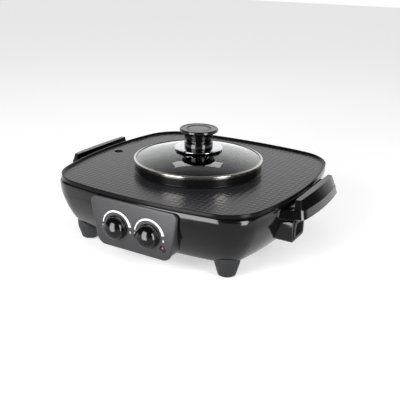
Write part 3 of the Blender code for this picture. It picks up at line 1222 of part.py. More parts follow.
def make_lid_knob(axis, chrome, plastic, inlay, rubber, steel):
    """The disc, the waisted knob and its inlay above the glass; the washer and screw that hold them."""
    bore = LID_SCREW_RADIUS + SEAT_GAP
    disc_z = GLASS_TOP_Z + SEAT_GAP
    edge_z = disc_z + DISC_CUP - dome_drop(DISC_RADIUS)
    disc = [(bore, disc_z), (LID_KNOB_BASE_RADIUS, disc_z), (DISC_RADIUS, edge_z),
            (DISC_RADIUS, edge_z + DISC_THICKNESS),
            (LID_KNOB_BASE_RADIUS, disc_z + DISC_THICKNESS), (bore, disc_z + DISC_THICKNESS)]
    add_piece("lid_knob_disc", turned(disc, DISC_SIDES, closed=True), chrome, axis)
    base = disc_z + DISC_THICKNESS + SEAT_GAP
    high = LID_KNOB_HEIGHT
    radii = (LID_KNOB_BASE_RADIUS, LID_KNOB_BASE_RADIUS, LID_KNOB_WAIST_RADIUS, LID_KNOB_WAIST_RADIUS,
             LID_KNOB_NECK_RADIUS, LID_KNOB_NECK_RADIUS, LID_KNOB_CAP_RADIUS)
    side = [(radius, base + high * share) for radius, share in zip(radii, LID_KNOB_PROFILE_SHARES)]
    top = base + high
    floor = top - LID_KNOB_RECESS
    profile = [(0.0, base + LID_KNOB_BORE), (bore, base + LID_KNOB_BORE), (bore, base)]
    profile += [(LID_KNOB_BASE_RADIUS - LID_KNOB_RIM / 2, base)] + side
    recess = LID_KNOB_RECESS_RADIUS + SEAT_GAP
    profile += [(LID_KNOB_CAP_RADIUS, top - LID_KNOB_RIM / 2), (LID_KNOB_CAP_RADIUS - LID_KNOB_RIM / 2, top),
                (recess, top), (recess, floor), (0.0, floor)]
    add_piece("lid_knob", turned(profile, DISC_SIDES), plastic, axis)
    cap = [(0.0, floor + SEAT_GAP), (LID_KNOB_RECESS_RADIUS, floor + SEAT_GAP),
           (LID_KNOB_RECESS_RADIUS, top - SEAT_GAP), (0.0, top - SEAT_GAP)]
    add_piece("lid_knob_inlay", turned(cap, DISC_SIDES), inlay, axis)
    under = dome_z(0.0) - LID_GLASS_THICKNESS - SEAT_GAP - dome_drop(LID_WASHER_RADIUS)
    washer = [(bore, under - LID_WASHER_THICKNESS), (LID_WASHER_RADIUS, under - LID_WASHER_THICKNESS),
              (LID_WASHER_RADIUS, under), (bore, under)]
    add_piece("lid_washer", turned(washer, 24, closed=True), rubber, axis)
    seat = under - LID_WASHER_THICKNESS - SEAT_GAP
    length = base + LID_KNOB_BORE - SEAT_GAP - seat
    screw = screw_shape(length, LID_SCREW_RADIUS, LID_SCREW_HEAD_RADIUS, LID_SCREW_HEAD)
    add_piece("lid_screw", moved(screw, z=seat), steel, axis)


def dome_drop(radius):
    """How far the glass falls from its centre to a radius."""
    return dome_z(0.0) - dome_z(radius)


def build():
    """Make every piece."""
    clear_scene()
    root = make_empty("hot_pot_grill", (0.0, CENTRE_SHIFT_Y, 0.0))
    coating = make_material("nonstick_coating", (0.10, 0.10, 0.105), 0.35)
    gloss = make_material("gloss_black_plastic", (0.012, 0.012, 0.013), 0.12)
    matte = make_material("grey_black_plastic", (0.06, 0.06, 0.063), 0.4)
    phenolic = make_material("phenolic", (0.02, 0.02, 0.021), 0.25)
    white = make_material("white_plastic", (0.75, 0.75, 0.72), 0.5)
    steel = make_material("stainless_steel", (0.62, 0.62, 0.63), 0.25, 1.0)
    chrome = make_material("polished_steel", (0.8, 0.8, 0.82), 0.08, 1.0)
    aluminised = make_material("aluminised_steel", (0.55, 0.56, 0.57), 0.35, 1.0)
    brass = make_material("nickel_plated_brass", (0.7, 0.68, 0.62), 0.3, 1.0)
    glass = make_material("tempered_glass", (0.9, 0.93, 0.93), 0.02, 0.0, 0.3)
    rubber = make_material("rubber", (0.02, 0.02, 0.02), 0.8)
    red = make_material("red_lens", (0.55, 0.03, 0.02), 0.15)
    wire = make_material("wire_sleeve", (0.6, 0.6, 0.58), 0.6)
    make_grill_plate(root, coating)
    make_grill_element(root, steel)
    make_pot_element(root, steel)
    make_element_clamp(root, steel)
    make_heat_reflector(root, aluminised)
    make_body_shell(root, gloss)
    make_base_cover(root, matte)
    make_tie_screws(root, steel)
    make_feet(root, matte, rubber)
    make_handles(root, phenolic, steel)
    make_control_housing(root, matte, steel)
    make_control_panel(root, matte)
    make_dial("pot", -1, root, gloss, steel, phenolic)
    make_dial("grill", 1, root, gloss, steel, phenolic)
    make_pilot(root, red, white)
    make_inlet_housing(root, gloss)
    make_inlet_socket(root, matte, brass)
    make_wiring(root, phenolic, wire)
    make_drain_spout(root, aluminised)
    make_cup_sleeve(root, matte)
    make_oil_cup(root, matte)
    lid = make_empty("lid_axis", (0.0, 0.0, 0.0), root)
    make_lid_glass(lid, glass)
    make_lid_rim(lid, chrome)
    make_vent_grommet(lid, steel)
    make_lid_knob(lid, chrome, gloss, matte, rubber, steel)


build()
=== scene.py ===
"""Looks of an electric hot pot and grill: fine shapes, finishes, a floor, lamps and a camera.

Metres, +Z up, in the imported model's frame: the table is at z = 0 and the front, with the dials, faces -Y.
"""
import math

import bmesh
import bpy
from bpy.props import FloatProperty, FloatVectorProperty, PointerProperty, StringProperty
from mathutils import Matrix, Vector


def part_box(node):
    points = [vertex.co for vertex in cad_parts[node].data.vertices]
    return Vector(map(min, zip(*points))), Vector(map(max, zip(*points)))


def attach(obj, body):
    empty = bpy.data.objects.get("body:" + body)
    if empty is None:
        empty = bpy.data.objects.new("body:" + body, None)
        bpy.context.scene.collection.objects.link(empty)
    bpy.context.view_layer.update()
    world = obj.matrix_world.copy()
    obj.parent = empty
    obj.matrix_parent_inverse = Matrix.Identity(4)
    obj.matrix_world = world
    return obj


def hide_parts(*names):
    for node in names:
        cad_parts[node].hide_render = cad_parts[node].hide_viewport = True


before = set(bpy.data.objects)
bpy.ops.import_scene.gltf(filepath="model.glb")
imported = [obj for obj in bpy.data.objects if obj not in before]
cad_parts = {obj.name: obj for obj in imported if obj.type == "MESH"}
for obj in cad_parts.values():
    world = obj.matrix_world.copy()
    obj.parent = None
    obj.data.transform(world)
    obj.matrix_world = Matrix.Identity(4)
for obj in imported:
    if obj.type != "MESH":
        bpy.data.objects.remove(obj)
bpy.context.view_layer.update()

bl_info = {
    "name": "Hot pot and grill",
    "version": (1, 0, 0),
    "blender": (4, 5, 0),
    "location": "3D View > Sidebar > Cooker",
    "description": "Fine shapes and finishes for an electric hot pot and grill",
    "category": "Object",
}

# SEAT_GAP is the clearance between pieces that fit; OVERRUN is how far a cutter reaches past its cut
MM = 0.001
WELD_DISTANCE = 0.002 * MM
SEAT_GAP = 0.3 * MM
OVERRUN = 4.0 * MM
SMOOTH_DEG = 32.0

# Places and sizes read from the frame
PLATE_LOW, PLATE_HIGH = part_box("grill_plate")
SHELL_LOW, SHELL_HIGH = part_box("body_shell")
PANEL_LOW, PANEL_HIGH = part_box("control_panel")
INLET_LOW, INLET_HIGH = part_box("inlet_housing")
SLEEVE_LOW, SLEEVE_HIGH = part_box("oil_cup_sleeve")
FOOT_LOW, FOOT_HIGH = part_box("foot_right_rear")
RIM_LOW, RIM_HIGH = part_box("lid_rim")
DISC_LOW, DISC_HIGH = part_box("lid_knob_disc")
LID_KNOB_LOW, LID_KNOB_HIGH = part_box("lid_knob")
HANDLE_LOW, HANDLE_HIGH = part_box("handle_right")
CENTRE_Y = (PLATE_LOW.y + PLATE_HIGH.y) / 2
HALF_X = (PLATE_HIGH.x - PLATE_LOW.x) / 2
HALF_Y = (PLATE_HIGH.y - PLATE_LOW.y) / 2

# The plate's outline: a square with bulging sides and round corners
SIDE_RADIUS_X = 550.0 * MM
SIDE_RADIUS_Y = 800.0 * MM
CORNER_RADIUS = 69.0 * MM
SIDE_STEPS = 10
CORNER_STEPS = 14
TURN_STEPS = 96
BORE_STEPS = 48
BOSS_STEPS = 32
FOOT_STEPS = 56
EDGE_STEPS = 4
FILLET_STEPS = 8
BEVEL_SEGMENTS = 3

# The plate
COLLAR_TOP_Z = PLATE_HIGH.z
COLLAR_HEIGHT = 12.5 * MM
GRILL_Z = COLLAR_TOP_Z - COLLAR_HEIGHT
LIP_HEIGHT = 3.5 * MM
LIP_TOP_Z = GRILL_Z + LIP_HEIGHT
LIP_WIDTH = 3.0 * MM
LIP_SLOPE = 2.5 * MM
LIP_ROUND = 1.0 * MM
PLATE_THICKNESS = 3.0 * MM
UNDERSIDE_Z = GRILL_Z - PLATE_THICKNESS
COLLAR_RADIUS = 104.0 * MM
COLLAR_WALL = 5.0 * MM
COLLAR_FILLET = 2.0 * MM
COLLAR_ROUND = 1.0 * MM
POT_RADIUS = COLLAR_RADIUS - COLLAR_WALL
POT_DEPTH = 62.0 * MM
POT_FLOOR_Z = COLLAR_TOP_Z - POT_DEPTH
POT_WALL = 3.0 * MM
POT_DRAFT = 2.0 * MM
POT_CORNER = 9.0 * MM
FLAT_EDGE = 0.4 * MM
DRAIN_X = -164.0 * MM
DRAIN_RADIUS = 7.0 * MM
DRAIN_CHAMFER = 0.8 * MM
BOSS_RADIUS = 5.0 * MM
BOSS_LENGTH = 11.0 * MM
POT_BOSS_RADIUS = 6.0 * MM
POT_BOSS_LENGTH = 5.0 * MM
BOSS_HOLE_RADIUS = 2.1 * MM
TIE_X = 104.0 * MM
TIE_Y = 76.0 * MM

# The shell
SHELL_WALL = 2.5 * MM
SHELL_TOP_INSET = 1.0 * MM
SHOULDER_ROUND = 1.6 * MM
SHOULDER_DROP = 6.0 * MM
SHOULDER_Z = SHELL_HIGH.z - SHOULDER_DROP
SHOULDER_INSET = 0.5 * MM
SHOULDER_CORNER = 54.0 * MM
SHELL_TAPER = 36.0 * MM
SHELL_SHARES = ((0.0, 0.0), (0.18, 0.03), (0.36, 0.13), (0.55, 0.28), (0.73, 0.48), (0.86, 0.67),
                (0.95, 0.84), (1.0, 1.0))
SHELL_FLANGE = 34.0 * MM
SHELL_DROP = SHOULDER_Z - SHELL_LOW.z
SHELL_SMOOTH_DEG = 40.0
SHOULDER_STEPS = 6
PROFILE_STEPS = 4

# Feet
CORNERS = ("left_front", "left_rear", "right_front", "right_rear")
FOOT_BOTTOM_RADIUS = 13.8 * MM
FOOT_TOP_RADIUS = 19.0 * MM
FOOT_ROUND = 2.2 * MM
FOOT_FLARE = 0.5 * MM
FOOT_SIDE_DEG = -8.0
FOOT_PAD_RADIUS = 9.5 * MM
FOOT_PAD_RECESS = 0.7 * MM

# Handles
GRIP_DEPTH = 23.0 * MM
GRIP_BOW = 5.5 * MM
GRIP_TOP_BOW = 2.4 * MM
GRIP_TOP_WIDTH = 10.0 * MM
GRIP_FINGER_GAP = 9.5 * MM
GRIP_RISE = 14.0 * MM
GRIP_HALF_LENGTH = 71.0 * MM
GRIP_TOP_HALF_LENGTH = 66.0 * MM
GRIP_CORNER = 9.5 * MM
GRIP_FOOT_CORNER = 4.0 * MM
GRIP_END_SLANT = 0.22
GRIP_STEPS = 12
LOOP_HEIGHT = 16.5 * MM
LOOP_BEVEL = 4.0 * MM
LOOP_DRAFT = 2.8 * MM
# How far the loop's corner and its root come in along Y for each unit that its side comes in
LOOP_CORNER_SHARE = 0.68
LOOP_ROOT_SHARE = 1.07
ARM_ROOT_HALF = 86.0 * MM
ARM_ROOT_X = HALF_X - 14.0 * MM
ARM_ROOT_WIDTH = 14.0 * MM
ARM_WIDTH = 12.0 * MM
GRIP_LEDGE = 0.4 * MM
GRIP_SINK = 3.0 * MM

# Control housing and panel
PANEL_TOP_HALF = 76.5 * MM
PANEL_BOTTOM_HALF = 64.0 * MM
PANEL_TOP_ROUND = 5.0 * MM
PANEL_BOTTOM_ROUND = 16.0 * MM
PANEL_RIM = 4.6 * MM
PANEL_RIM_DEPTH = 1.9 * MM
PANEL_RIM_RISE = 3.8 * MM
PANEL_RIM_LOW_SHARE = 0.7
RIM_STEPS = 8
PANEL_CORNER_STEPS = 12
WINDOW_MARGIN = 9.0 * MM
PANEL_FACE_Y = PANEL_LOW.y - CENTRE_Y
PANEL_BACK_Y = PANEL_HIGH.y - CENTRE_Y
HOUSING_DEPTH = 40.0 * MM
HOUSING_WALL = 3.0 * MM
HOUSING_INSET = 1.5 * MM

# Dials and pilot lamp
DIAL_X = 28.5 * MM
DIALS = (("pot", -DIAL_X), ("grill", DIAL_X))
DIAL_Z = PANEL_HIGH.z - 38.5 * MM
KNOB_RADIUS = 18.4 * MM
KNOB_SKIRT = 2.2 * MM
KNOB_BODY_RADIUS = 17.6 * MM
KNOB_HEIGHT = 16.5 * MM
KNOB_POINTER = 21.6 * MM
KNOB_FULLNESS = 0.9
KNOB_AIR = 0.8 * MM
KNOB_ROUND = 0.8 * MM
KNOB_BORE_RADIUS = 3.3 * MM
KNOB_BORE_DEPTH = 9.0 * MM
KNOB_DOME_STEPS = 20
KNOB_SMOOTH_DEG = 26.0
SHAFT_HOLE_RADIUS = 4.5 * MM
LAMP_X = 52.0 * MM
LAMP_Z = PANEL_LOW.z + 18.5 * MM
LENS_RADIUS = 3.4 * MM
LENS_PROUD = 1.2 * MM
LENS_FLANGE = 0.8 * MM
LENS_STEPS = 6
BEZEL_WIDTH = 1.3 * MM
BEZEL_PROUD = 0.7 * MM
PRINT_THICKNESS = 0.08 * MM
SCALE_START_DEG = 172.0
SCALE_SWEEP_DEG = 160.0
SCALE_STEPS = 48
NUMBER_CAP_SHARE = 0.72
NUMBER_DROP_SHARE = 0.6

# Power inlet
INLET_FACE_X = INLET_HIGH.x
INLET_Y = (INLET_LOW.y + INLET_HIGH.y) / 2 - CENTRE_Y
INLET_Z = (INLET_LOW.z + INLET_HIGH.z) / 2
INLET_WIDTH = INLET_HIGH.y - INLET_LOW.y
INLET_HEIGHT = INLET_HIGH.z - INLET_LOW.z
INLET_DEPTH = 34.0 * MM
INLET_ROUND = 5.0 * MM
INLET_EDGE = 1.2 * MM
SOCKET_WIDTH = 30.0 * MM
SOCKET_HEIGHT = 22.0 * MM
SOCKET_ROUND = 4.0 * MM
SOCKET_WALL = 1.6 * MM
SOCKET_DEPTH = 17.0 * MM
SOCKET_BACK = 5.0 * MM
SOCKET_RIM = 1.2 * MM
SOCKET_PLAY = 3.0 * MM
SOCKET_EDGE_ROUND = 0.35 * MM

# Fat cup and its sleeve
SLEEVE_WALL = 2.0 * MM
CUP_GAP = 0.5 * MM
CUP_WALL = 1.6 * MM
CUP_TOP_GAP = 4.0 * MM
CUP_FRONT_THICKNESS = 3.0 * MM
CUP_PULL = 7.0 * MM
CUP_PULL_WIDTH = 30.0 * MM
CUP_PULL_THICKNESS = 3.0 * MM
CUP_EDGE = 1.0 * MM

# Lid
LID_RADIUS = (RIM_HIGH.x - RIM_LOW.x) / 2
LID_RIM_WIDTH = 3.6 * MM
LID_RIM_WALL = 0.8 * MM
LID_RIM_ROLL_DEG = 80.0
GLASS_THICKNESS = 3.0 * MM
DOME_RISE = 17.0 * MM
GLASS_EDGE_RADIUS = LID_RADIUS - LID_RIM_WALL - SEAT_GAP
GLASS_EDGE_Z = RIM_LOW.z + LID_RIM_WALL + SEAT_GAP
DOME_RADIUS = (GLASS_EDGE_RADIUS ** 2 + DOME_RISE ** 2) / (2 * DOME_RISE)
GLASS_TOP_Z = GLASS_EDGE_Z + GLASS_THICKNESS + DOME_RISE
DOME_STEPS = 20
GLASS_BORE_RADIUS = 5.0 * MM
VENT_X = -46.0 * MM
VENT_Y = 42.0 * MM
VENT_RADIUS = 3.5 * MM
VENT_FLANGE = 1.8 * MM
VENT_PROUD = 1.0 * MM
VENT_BORE_RADIUS = 1.2 * MM
DISC_RADIUS = (DISC_HIGH.x - DISC_LOW.x) / 2
DISC_THICKNESS = 1.2 * MM
DISC_CUP = 2.2 * MM
DISC_EDGE_DEG = (-60.0, 80.0)
DISC_SMOOTH_DEG = 60.0
CAP_RADIUS = (LID_KNOB_HIGH.x - LID_KNOB_LOW.x) / 2
KNOB_BASE_RADIUS = 23.3 * MM
KNOB_WAIST_RADIUS = 19.6 * MM
KNOB_NECK_RADIUS = 23.0 * MM
CAP_ROUND = 2.0 * MM
CAP_LIP = 0.6 * MM
INLAY_RADIUS = 19.5 * MM
INLAY_GROOVE = 0.9 * MM
INLAY_RECESS = 1.5 * MM
INLAY_EDGE = 0.2 * MM
INLAY_DISH = 0.1 * MM
RING_INSET = 3.0 * MM
RING_WIDTH = 0.5 * MM
RING_SLOPE = 0.3 * MM
RING_DEPTH = 0.5 * MM
LID_BORE_RADIUS = 2.7 * MM
LID_BORE_DEPTH = 20.0 * MM
KNOB_TOE = 1.0 * MM
# The knob's side: its radius, and its height as a share of the knob's
KNOB_SIDE = ((KNOB_BASE_RADIUS, 0.03), (KNOB_BASE_RADIUS, 0.24), (KNOB_BASE_RADIUS - 0.3 * MM, 0.26),
             (KNOB_WAIST_RADIUS, 0.275), (KNOB_WAIST_RADIUS, 0.335), (KNOB_NECK_RADIUS - 0.6 * MM, 0.37),
             (KNOB_NECK_RADIUS, 0.45), (KNOB_NECK_RADIUS + 0.6 * MM, 0.72),
             (KNOB_NECK_RADIUS + 2.6 * MM, 0.78), (CAP_RADIUS - 1.2 * MM, 0.83), (CAP_RADIUS, 0.88))

# Camera: solved from the photograph's frame of 400 pixels
CAMERA_AZIMUTH_DEG = 30.14
CAMERA_ELEVATION_DEG = 17.88
CAMERA_DISTANCE = 1032.1 * MM
CAMERA_YAW_DEG = -0.238
CAMERA_PITCH_DEG = 3.207
CAMERA_ROLL_DEG = -1.135
CAMERA_FOCAL_PIXELS = 623.3
FRAME_PIXELS = 400
SENSOR_WIDTH_MM = 36.0

# Stage: pairs are limits; how far back is from -1 to 1, and heights are a direction's Z
FLOOR_HALF_SIZE = 6.0
FLOOR_PAINT = (0.85, 0.85, 0.85, 1.0)
FLOOR_LIFT = 0.45
TABLE_RADIUS = 340.0 * MM
GROUND_BACK = (-0.9, 0.6)
GROUND_LIGHT = (0.5, 1.15)
BACKDROP_BACK = (0.5, 0.72)
BACKDROP_HEIGHT = (0.38, 0.86)
BACKDROP_LIGHT = (1.1, 0.1)
ROOM_LIGHT = 0.03
SOFT_LIGHT = (0.4, 0.4, 0.4, 1.0)
WHITE = (1.0, 1.0, 1.0, 1.0)
LAMP_AIM_Z = 90.0 * MM
# Lamps: name, azimuth, lowest and highest edge and width in degrees, distance in metres, light
LAMPS = (("softbox_left", -12.5, -22.0, 37.0, 31.0, 1.4, 8.0),
         ("softbox_right", 71.0, -22.0, 37.0, 18.0, 1.4, 9.0),
         ("lamp_rear_left", -141.0, 39.0, 46.0, 7.0, 1.6, 3.0),
         ("lamp_rear_right", -158.0, 39.0, 46.0, 7.0, 1.6, 3.0))


def linear(code):
    """Turn an sRGB hex value into linear red, green and blue."""
    values = [int(code[start:start + 2], 16) / 255 for start in (1, 3, 5)]
    return tuple(value / 12.92 if value <= 0.04045 else ((value + 0.055) / 1.055) ** 2.4 for value in values)


def colour_property(name, description, code):
    """A colour that a user can change, given as an sRGB hex value."""
    return FloatVectorProperty(name=name, description=description, subtype="COLOR", size=3, min=0.0, max=1.0,
                               default=linear(code))


def length_property(name, description, millimetres):
    """A length that a user can change."""
    return FloatProperty(name=name, description=description, subtype="DISTANCE", unit="LENGTH", min=0.0,
                         default=millimetres * MM)


class CookerSizes(bpy.types.PropertyGroup):
    """Fine sizes of the finish."""
    emboss_pitch: length_property("Emboss pitch", "Spacing of the grill's rows of studs", 8.3)
    emboss_depth: length_property("Emboss depth", "Height of the grill's studs", 0.2)
    edge_round: length_property("Edge round", "Rounding of moulded edges", 0.5)
    scale_radius: length_property("Scale radius", "Radius of a dial's printed scale at its middle", 24.6)
    scale_start: length_property("Scale start width", "Width of a dial's scale at 9 o'clock", 1.6)
    scale_end: length_property("Scale end width", "Width of a dial's scale at 3 o'clock", 4.4)
    number_height: length_property("Number height", "Height of the numbers at the scale's ends", 4.4)
    number_low: StringProperty(name="Low number", description="Number at the start of a scale", default="0")
    number_high: StringProperty(name="High number", description="Number at the end of a scale", default="6")


class CookerColours(bpy.types.PropertyGroup):
    """Colours of the finishes."""
    coating: colour_property("Coating", "Nonstick coating of the plate", "#2b2a2d")
    coating_smooth: colour_property("Smooth coating", "Nonstick coating of the collar and pot", "#0f0f10")
    shell: colour_property("Shell", "Glossy moulded shell", "#0c0c0c")
    handle: colour_property("Handle", "Moulded phenolic of the handles and the lid's knob", "#070708")
    panel: colour_property("Panel", "Satin moulded panel", "#343336")
    foot: colour_property("Foot", "Matte moulded feet and base", "#242527")
    steel: colour_property("Steel", "Stainless steel of the rim and screws", "#c9c4bb")
    chrome: colour_property("Chrome", "Plated disc below the lid's knob", "#d6d6dd")
    inlay: colour_property("Inlay", "Inlay in the lid's knob", "#37322f")
    lens: colour_property("Lens", "Pilot lens", "#6a120e")
    print_ink: colour_property("Print", "Printed scales and numbers", "#e8e8e6")
    zinc: colour_property("Aluminised sheet", "Reflector and drain spout", "#b4b5b8")
    glass: colour_property("Glass", "Tempered glass of the lid", "#f4f8f7")
    rubber: colour_property("Rubber", "Foot pads and the lid's washer", "#19191a")
    nylon: colour_property("Nylon", "Holder of the pilot lamp", "#d9d7cf")
    sleeve: colour_property("Sleeve", "Woven sleeve of the wires", "#cbc8bd")


# Shape helpers: everything is modelled round the plate's centre and moved to its place when it is finished

def plate_outline(inset=0.0, corner_radius=CORNER_RADIUS):
    """Points of the plate's outline, moved inwards by inset, counter-clockwise from +X."""
    side_x = SIDE_RADIUS_X - inset
    side_y = SIDE_RADIUS_Y - inset
    corner = corner_radius - inset
    centre_x = HALF_X - SIDE_RADIUS_X
    centre_y = HALF_Y - SIDE_RADIUS_Y
    reach_x = side_x - corner
    reach_y = side_y - corner
    apart = math.hypot(centre_x, centre_y)
    along = (reach_x ** 2 - reach_y ** 2 + apart ** 2) / (2 * apart)
    across = math.sqrt(reach_x ** 2 - along ** 2)
    start = Vector((centre_x, 0.0))
    way = (Vector((0.0, centre_y)) - start) / apart
    centre = start + way * along + Vector((-way.y, way.x)) * across
    first = math.atan2(centre.y, centre.x - centre_x)
    last = math.atan2(centre.y - centre_y, centre.x)
    quarter = []
    for x, y, radius, start_turn, end_turn, steps in (
            (centre_x, 0.0, side_x, 0.0, first, SIDE_STEPS),
            (centre.x, centre.y, corner, first, last, CORNER_STEPS),
            (0.0, centre_y, side_y, last, math.pi / 2, SIDE_STEPS)):
        for step in range(steps):
            turn = start_turn + (end_turn - start_turn) * step / steps
            quarter.append((x + radius * math.cos(turn), y + radius * math.sin(turn)))
    half = quarter + [(0.0, centre_y + side_y)] + [(-x, y) for x, y in reversed(quarter)]
    return half + [(x, -y) for x, y in reversed(half[1:-1])]


def circle_like(radius):
    """A circle with one point in line with each point of the plate's outline."""
    turns = [math.atan2(y, x) for x, y in plate_outline()]
    return [(radius * math.cos(turn), radius * math.sin(turn)) for turn in turns]


def blended(first, second, share):
    """Points between two outlines of equal counts."""
    return [(a[0] + (b[0] - a[0]) * share, a[1] + (b[1] - a[1]) * share) for a, b in zip(first, second)]


def arc(centre_r, centre_z, radius, start_deg, end_deg, steps=6):
    """Points of an arc in a profile, ends included."""
    turns = [math.radians(start_deg + (end_deg - start_deg) * step / steps) for step in range(steps + 1)]
    return [(centre_r + radius * math.cos(turn), centre_z + radius * math.sin(turn)) for turn in turns]


def smooth_line(points, steps):
    """More points along a line, on a curve that passes through the given ones."""
    line = [points[0]] + list(points) + [points[-1]]
    finer = []
    for a, b, c, d in zip(line, line[1:], line[2:], line[3:]):
        for step in range(steps):
            s = step / steps
            finer.append(tuple(0.5 * (2 * q + (r - p) * s + (2 * p - 5 * q + 4 * r - t) * s ** 2
                                      + (3 * q - p - 3 * r + t) * s ** 3) for p, q, r, t in zip(a, b, c, d)))
    return finer + [points[-1]]


def round_corners(points, radii, steps=6):
    """Replace each corner of a polygon by an arc of its own radius."""
    rounded = []
    for index, (corner, radius) in enumerate(zip(points, radii)):
        here = Vector(corner)
        if radius <= 0.0:
            rounded.append(tuple(here))
            continue
        back = (Vector(points[index - 1]) - here).normalized()
        ahead = (Vector(points[(index + 1) % len(points)]) - here).normalized()
        half = back.angle(ahead) / 2
        centre = here + (back + ahead).normalized() * (radius / math.sin(half))
        start = here + back * (radius / math.tan(half)) - centre
        end = here + ahead * (radius / math.tan(half)) - centre
        for step in range(steps + 1):
            point = centre + start.slerp(end, step / steps).normalized() * radius
            rounded.append((point.x, point.y))
    return rounded


def rectangle(width, height, radius):
    """A rectangle's outline about the origin, with its corners rounded."""
    x, y = width / 2, height / 2
    return round_corners([(-x, -y), (x, -y), (x, y), (-x, y)], [radius] * 4)


def swept(rings):
    """A skin extruded from ring to ring; each ring is its points and its height."""
    shape = bmesh.new()
    bmesh.ops.create_circle(shape, segments=len(rings[0][0]), radius=MM)
    order = shape.verts.layers.int.new("order")
    for index, vert in enumerate(shape.verts):
        vert[order] = index
    verts, edges = list(shape.verts), list(shape.edges)
    for number, (points, height) in enumerate(rings):
        if number:
            grown = bmesh.ops.extrude_edge_only(shape, edges=edges)["geom"]
            verts = {item for item in grown if isinstance(item, bmesh.types.BMVert)}
            edges = [item for item in grown
                     if isinstance(item, bmesh.types.BMEdge) and verts.issuperset(item.verts)]
        for vert in verts:
            vert.co = (*points[vert[order]], height)
    bmesh.ops.remove_doubles(shape, verts=shape.verts, dist=WELD_DISTANCE)
    return shape


def turned(profile, steps=TURN_STEPS):
    """A shape turned about Z from (radius, height) points."""
    shape = bmesh.new()
    corners = [shape.verts.new((radius, 0.0, height)) for radius, height in profile]
    edges = [shape.edges.new(pair) for pair in zip(corners, corners[1:])]
    bmesh.ops.spin(shape, geom=corners + edges, cent=(0.0, 0.0, 0.0), axis=(0.0, 0.0, 1.0),
                   angle=math.tau, steps=steps, use_merge=True, use_duplicate=False)
    bmesh.ops.remove_doubles(shape, verts=shape.verts, dist=WELD_DISTANCE)
    return shape


def thickened(shape, thickness):
    """Extrude a flat shape upwards into a solid."""
    grown = bmesh.ops.extrude_face_region(shape, geom=shape.faces[:])["geom"]
    top = [item for item in grown if isinstance(item, bmesh.types.BMVert)]
    bmesh.ops.translate(shape, verts=top, vec=(0.0, 0.0, thickness))
    return shape


def prism(points, low, high):
    """A solid with a flat outline in XY between two heights."""
    shape = bmesh.new()
    shape.faces.new([shape.verts.new((x, y, low)) for x, y in points])
    return thickened(shape, high - low)


def capped(rings):
    """A swept skin whose first and last rings are closed with a face."""
    shape = swept(rings)
    bmesh.ops.holes_fill(shape, edges=shape.edges, sides=0)
    return shape


def block(low, high):
    """A box between its lowest and highest corners."""
    shape = bmesh.new()
    low, high = Vector(low), Vector(high)
    place = Matrix.Translation((low + high) / 2) @ Matrix.Diagonal((*(high - low), 1.0))
    bmesh.ops.create_cube(shape, size=1.0, matrix=place)
    return shape


def rod(radius, low, high):
    """A round bar between two heights."""
    return turned([(0.0, low), (radius, low), (radius, high), (0.0, high)], BORE_STEPS)


def moved(shape, x, y=0.0):
    """Move a shape along the table."""
    bmesh.ops.translate(shape, verts=shape.verts, vec=(x, y, 0.0))
    return shape


def along_x(shape, x, y, z):
    """Turn a shape made along +Z so that it runs along +X, with its local X downwards, and place it."""
    turn = Matrix(((0, 0, 1), (0, 1, 0), (-1, 0, 0))).to_4x4()
    bmesh.ops.transform(shape, matrix=Matrix.Translation((x, y, z)) @ turn, verts=shape.verts)
    return shape


def along_front(shape, x=0.0, y=0.0, z=0.0):
    """Turn a shape made along +Z so that it runs along -Y, with its local Y upwards, and place it."""
    turn = Matrix.Rotation(math.pi / 2, 4, "X")
    bmesh.ops.transform(shape, matrix=Matrix.Translation((x, y, z)) @ turn, verts=shape.verts)
    return shape


def mirrored(shape):
    """Mirror a shape across the YZ plane."""
    bmesh.ops.scale(shape, vec=(-1.0, 1.0, 1.0), verts=shape.verts)
    return shape


def mesh_of(name, shape):
    """Weld a shape, point its faces outwards and use it up as a mesh."""
    bmesh.ops.remove_doubles(shape, verts=shape.verts, dist=WELD_DISTANCE)
    bmesh.ops.recalc_face_normals(shape, faces=shape.faces)
    bmesh.ops.translate(shape, verts=shape.verts, vec=(0.0, CENTRE_Y, 0.0))
    mesh = bpy.data.meshes.new(name)
    shape.to_mesh(mesh)
    shape.free()
    return mesh


def new_object(name, data):
    """An object in the scene for a mesh, a text, a lamp or a camera."""
    piece = bpy.data.objects.new(name, data)
    bpy.context.scene.collection.objects.link(piece)
    return piece


def evaluated_mesh(piece):
    """A mesh of a piece as its modifiers, or its text, make it."""
    bpy.context.view_layer.update()
    return bpy.data.meshes.new_from_object(piece.evaluated_get(bpy.context.evaluated_depsgraph_get()))


def cuts(*shapes):
    """Forms that are cut out of a piece."""
    return [("DIFFERENCE", shape) for shape in shapes]


def apply_forms(piece, forms):
    """Join forms to a piece, or cut them out of it; each is an operation and a shape, which is used up."""
    helpers = []
    for operation, shape in forms:
        helper = new_object("form", mesh_of("form", shape))
        step = piece.modifiers.new("form", "BOOLEAN")
        step.operation = operation
        step.object = helper
        helpers.append(helper)
    result = evaluated_mesh(piece)
    piece.modifiers.clear()
    piece.data = result
    for helper in helpers:
        bpy.data.objects.remove(helper, do_unlink=True)


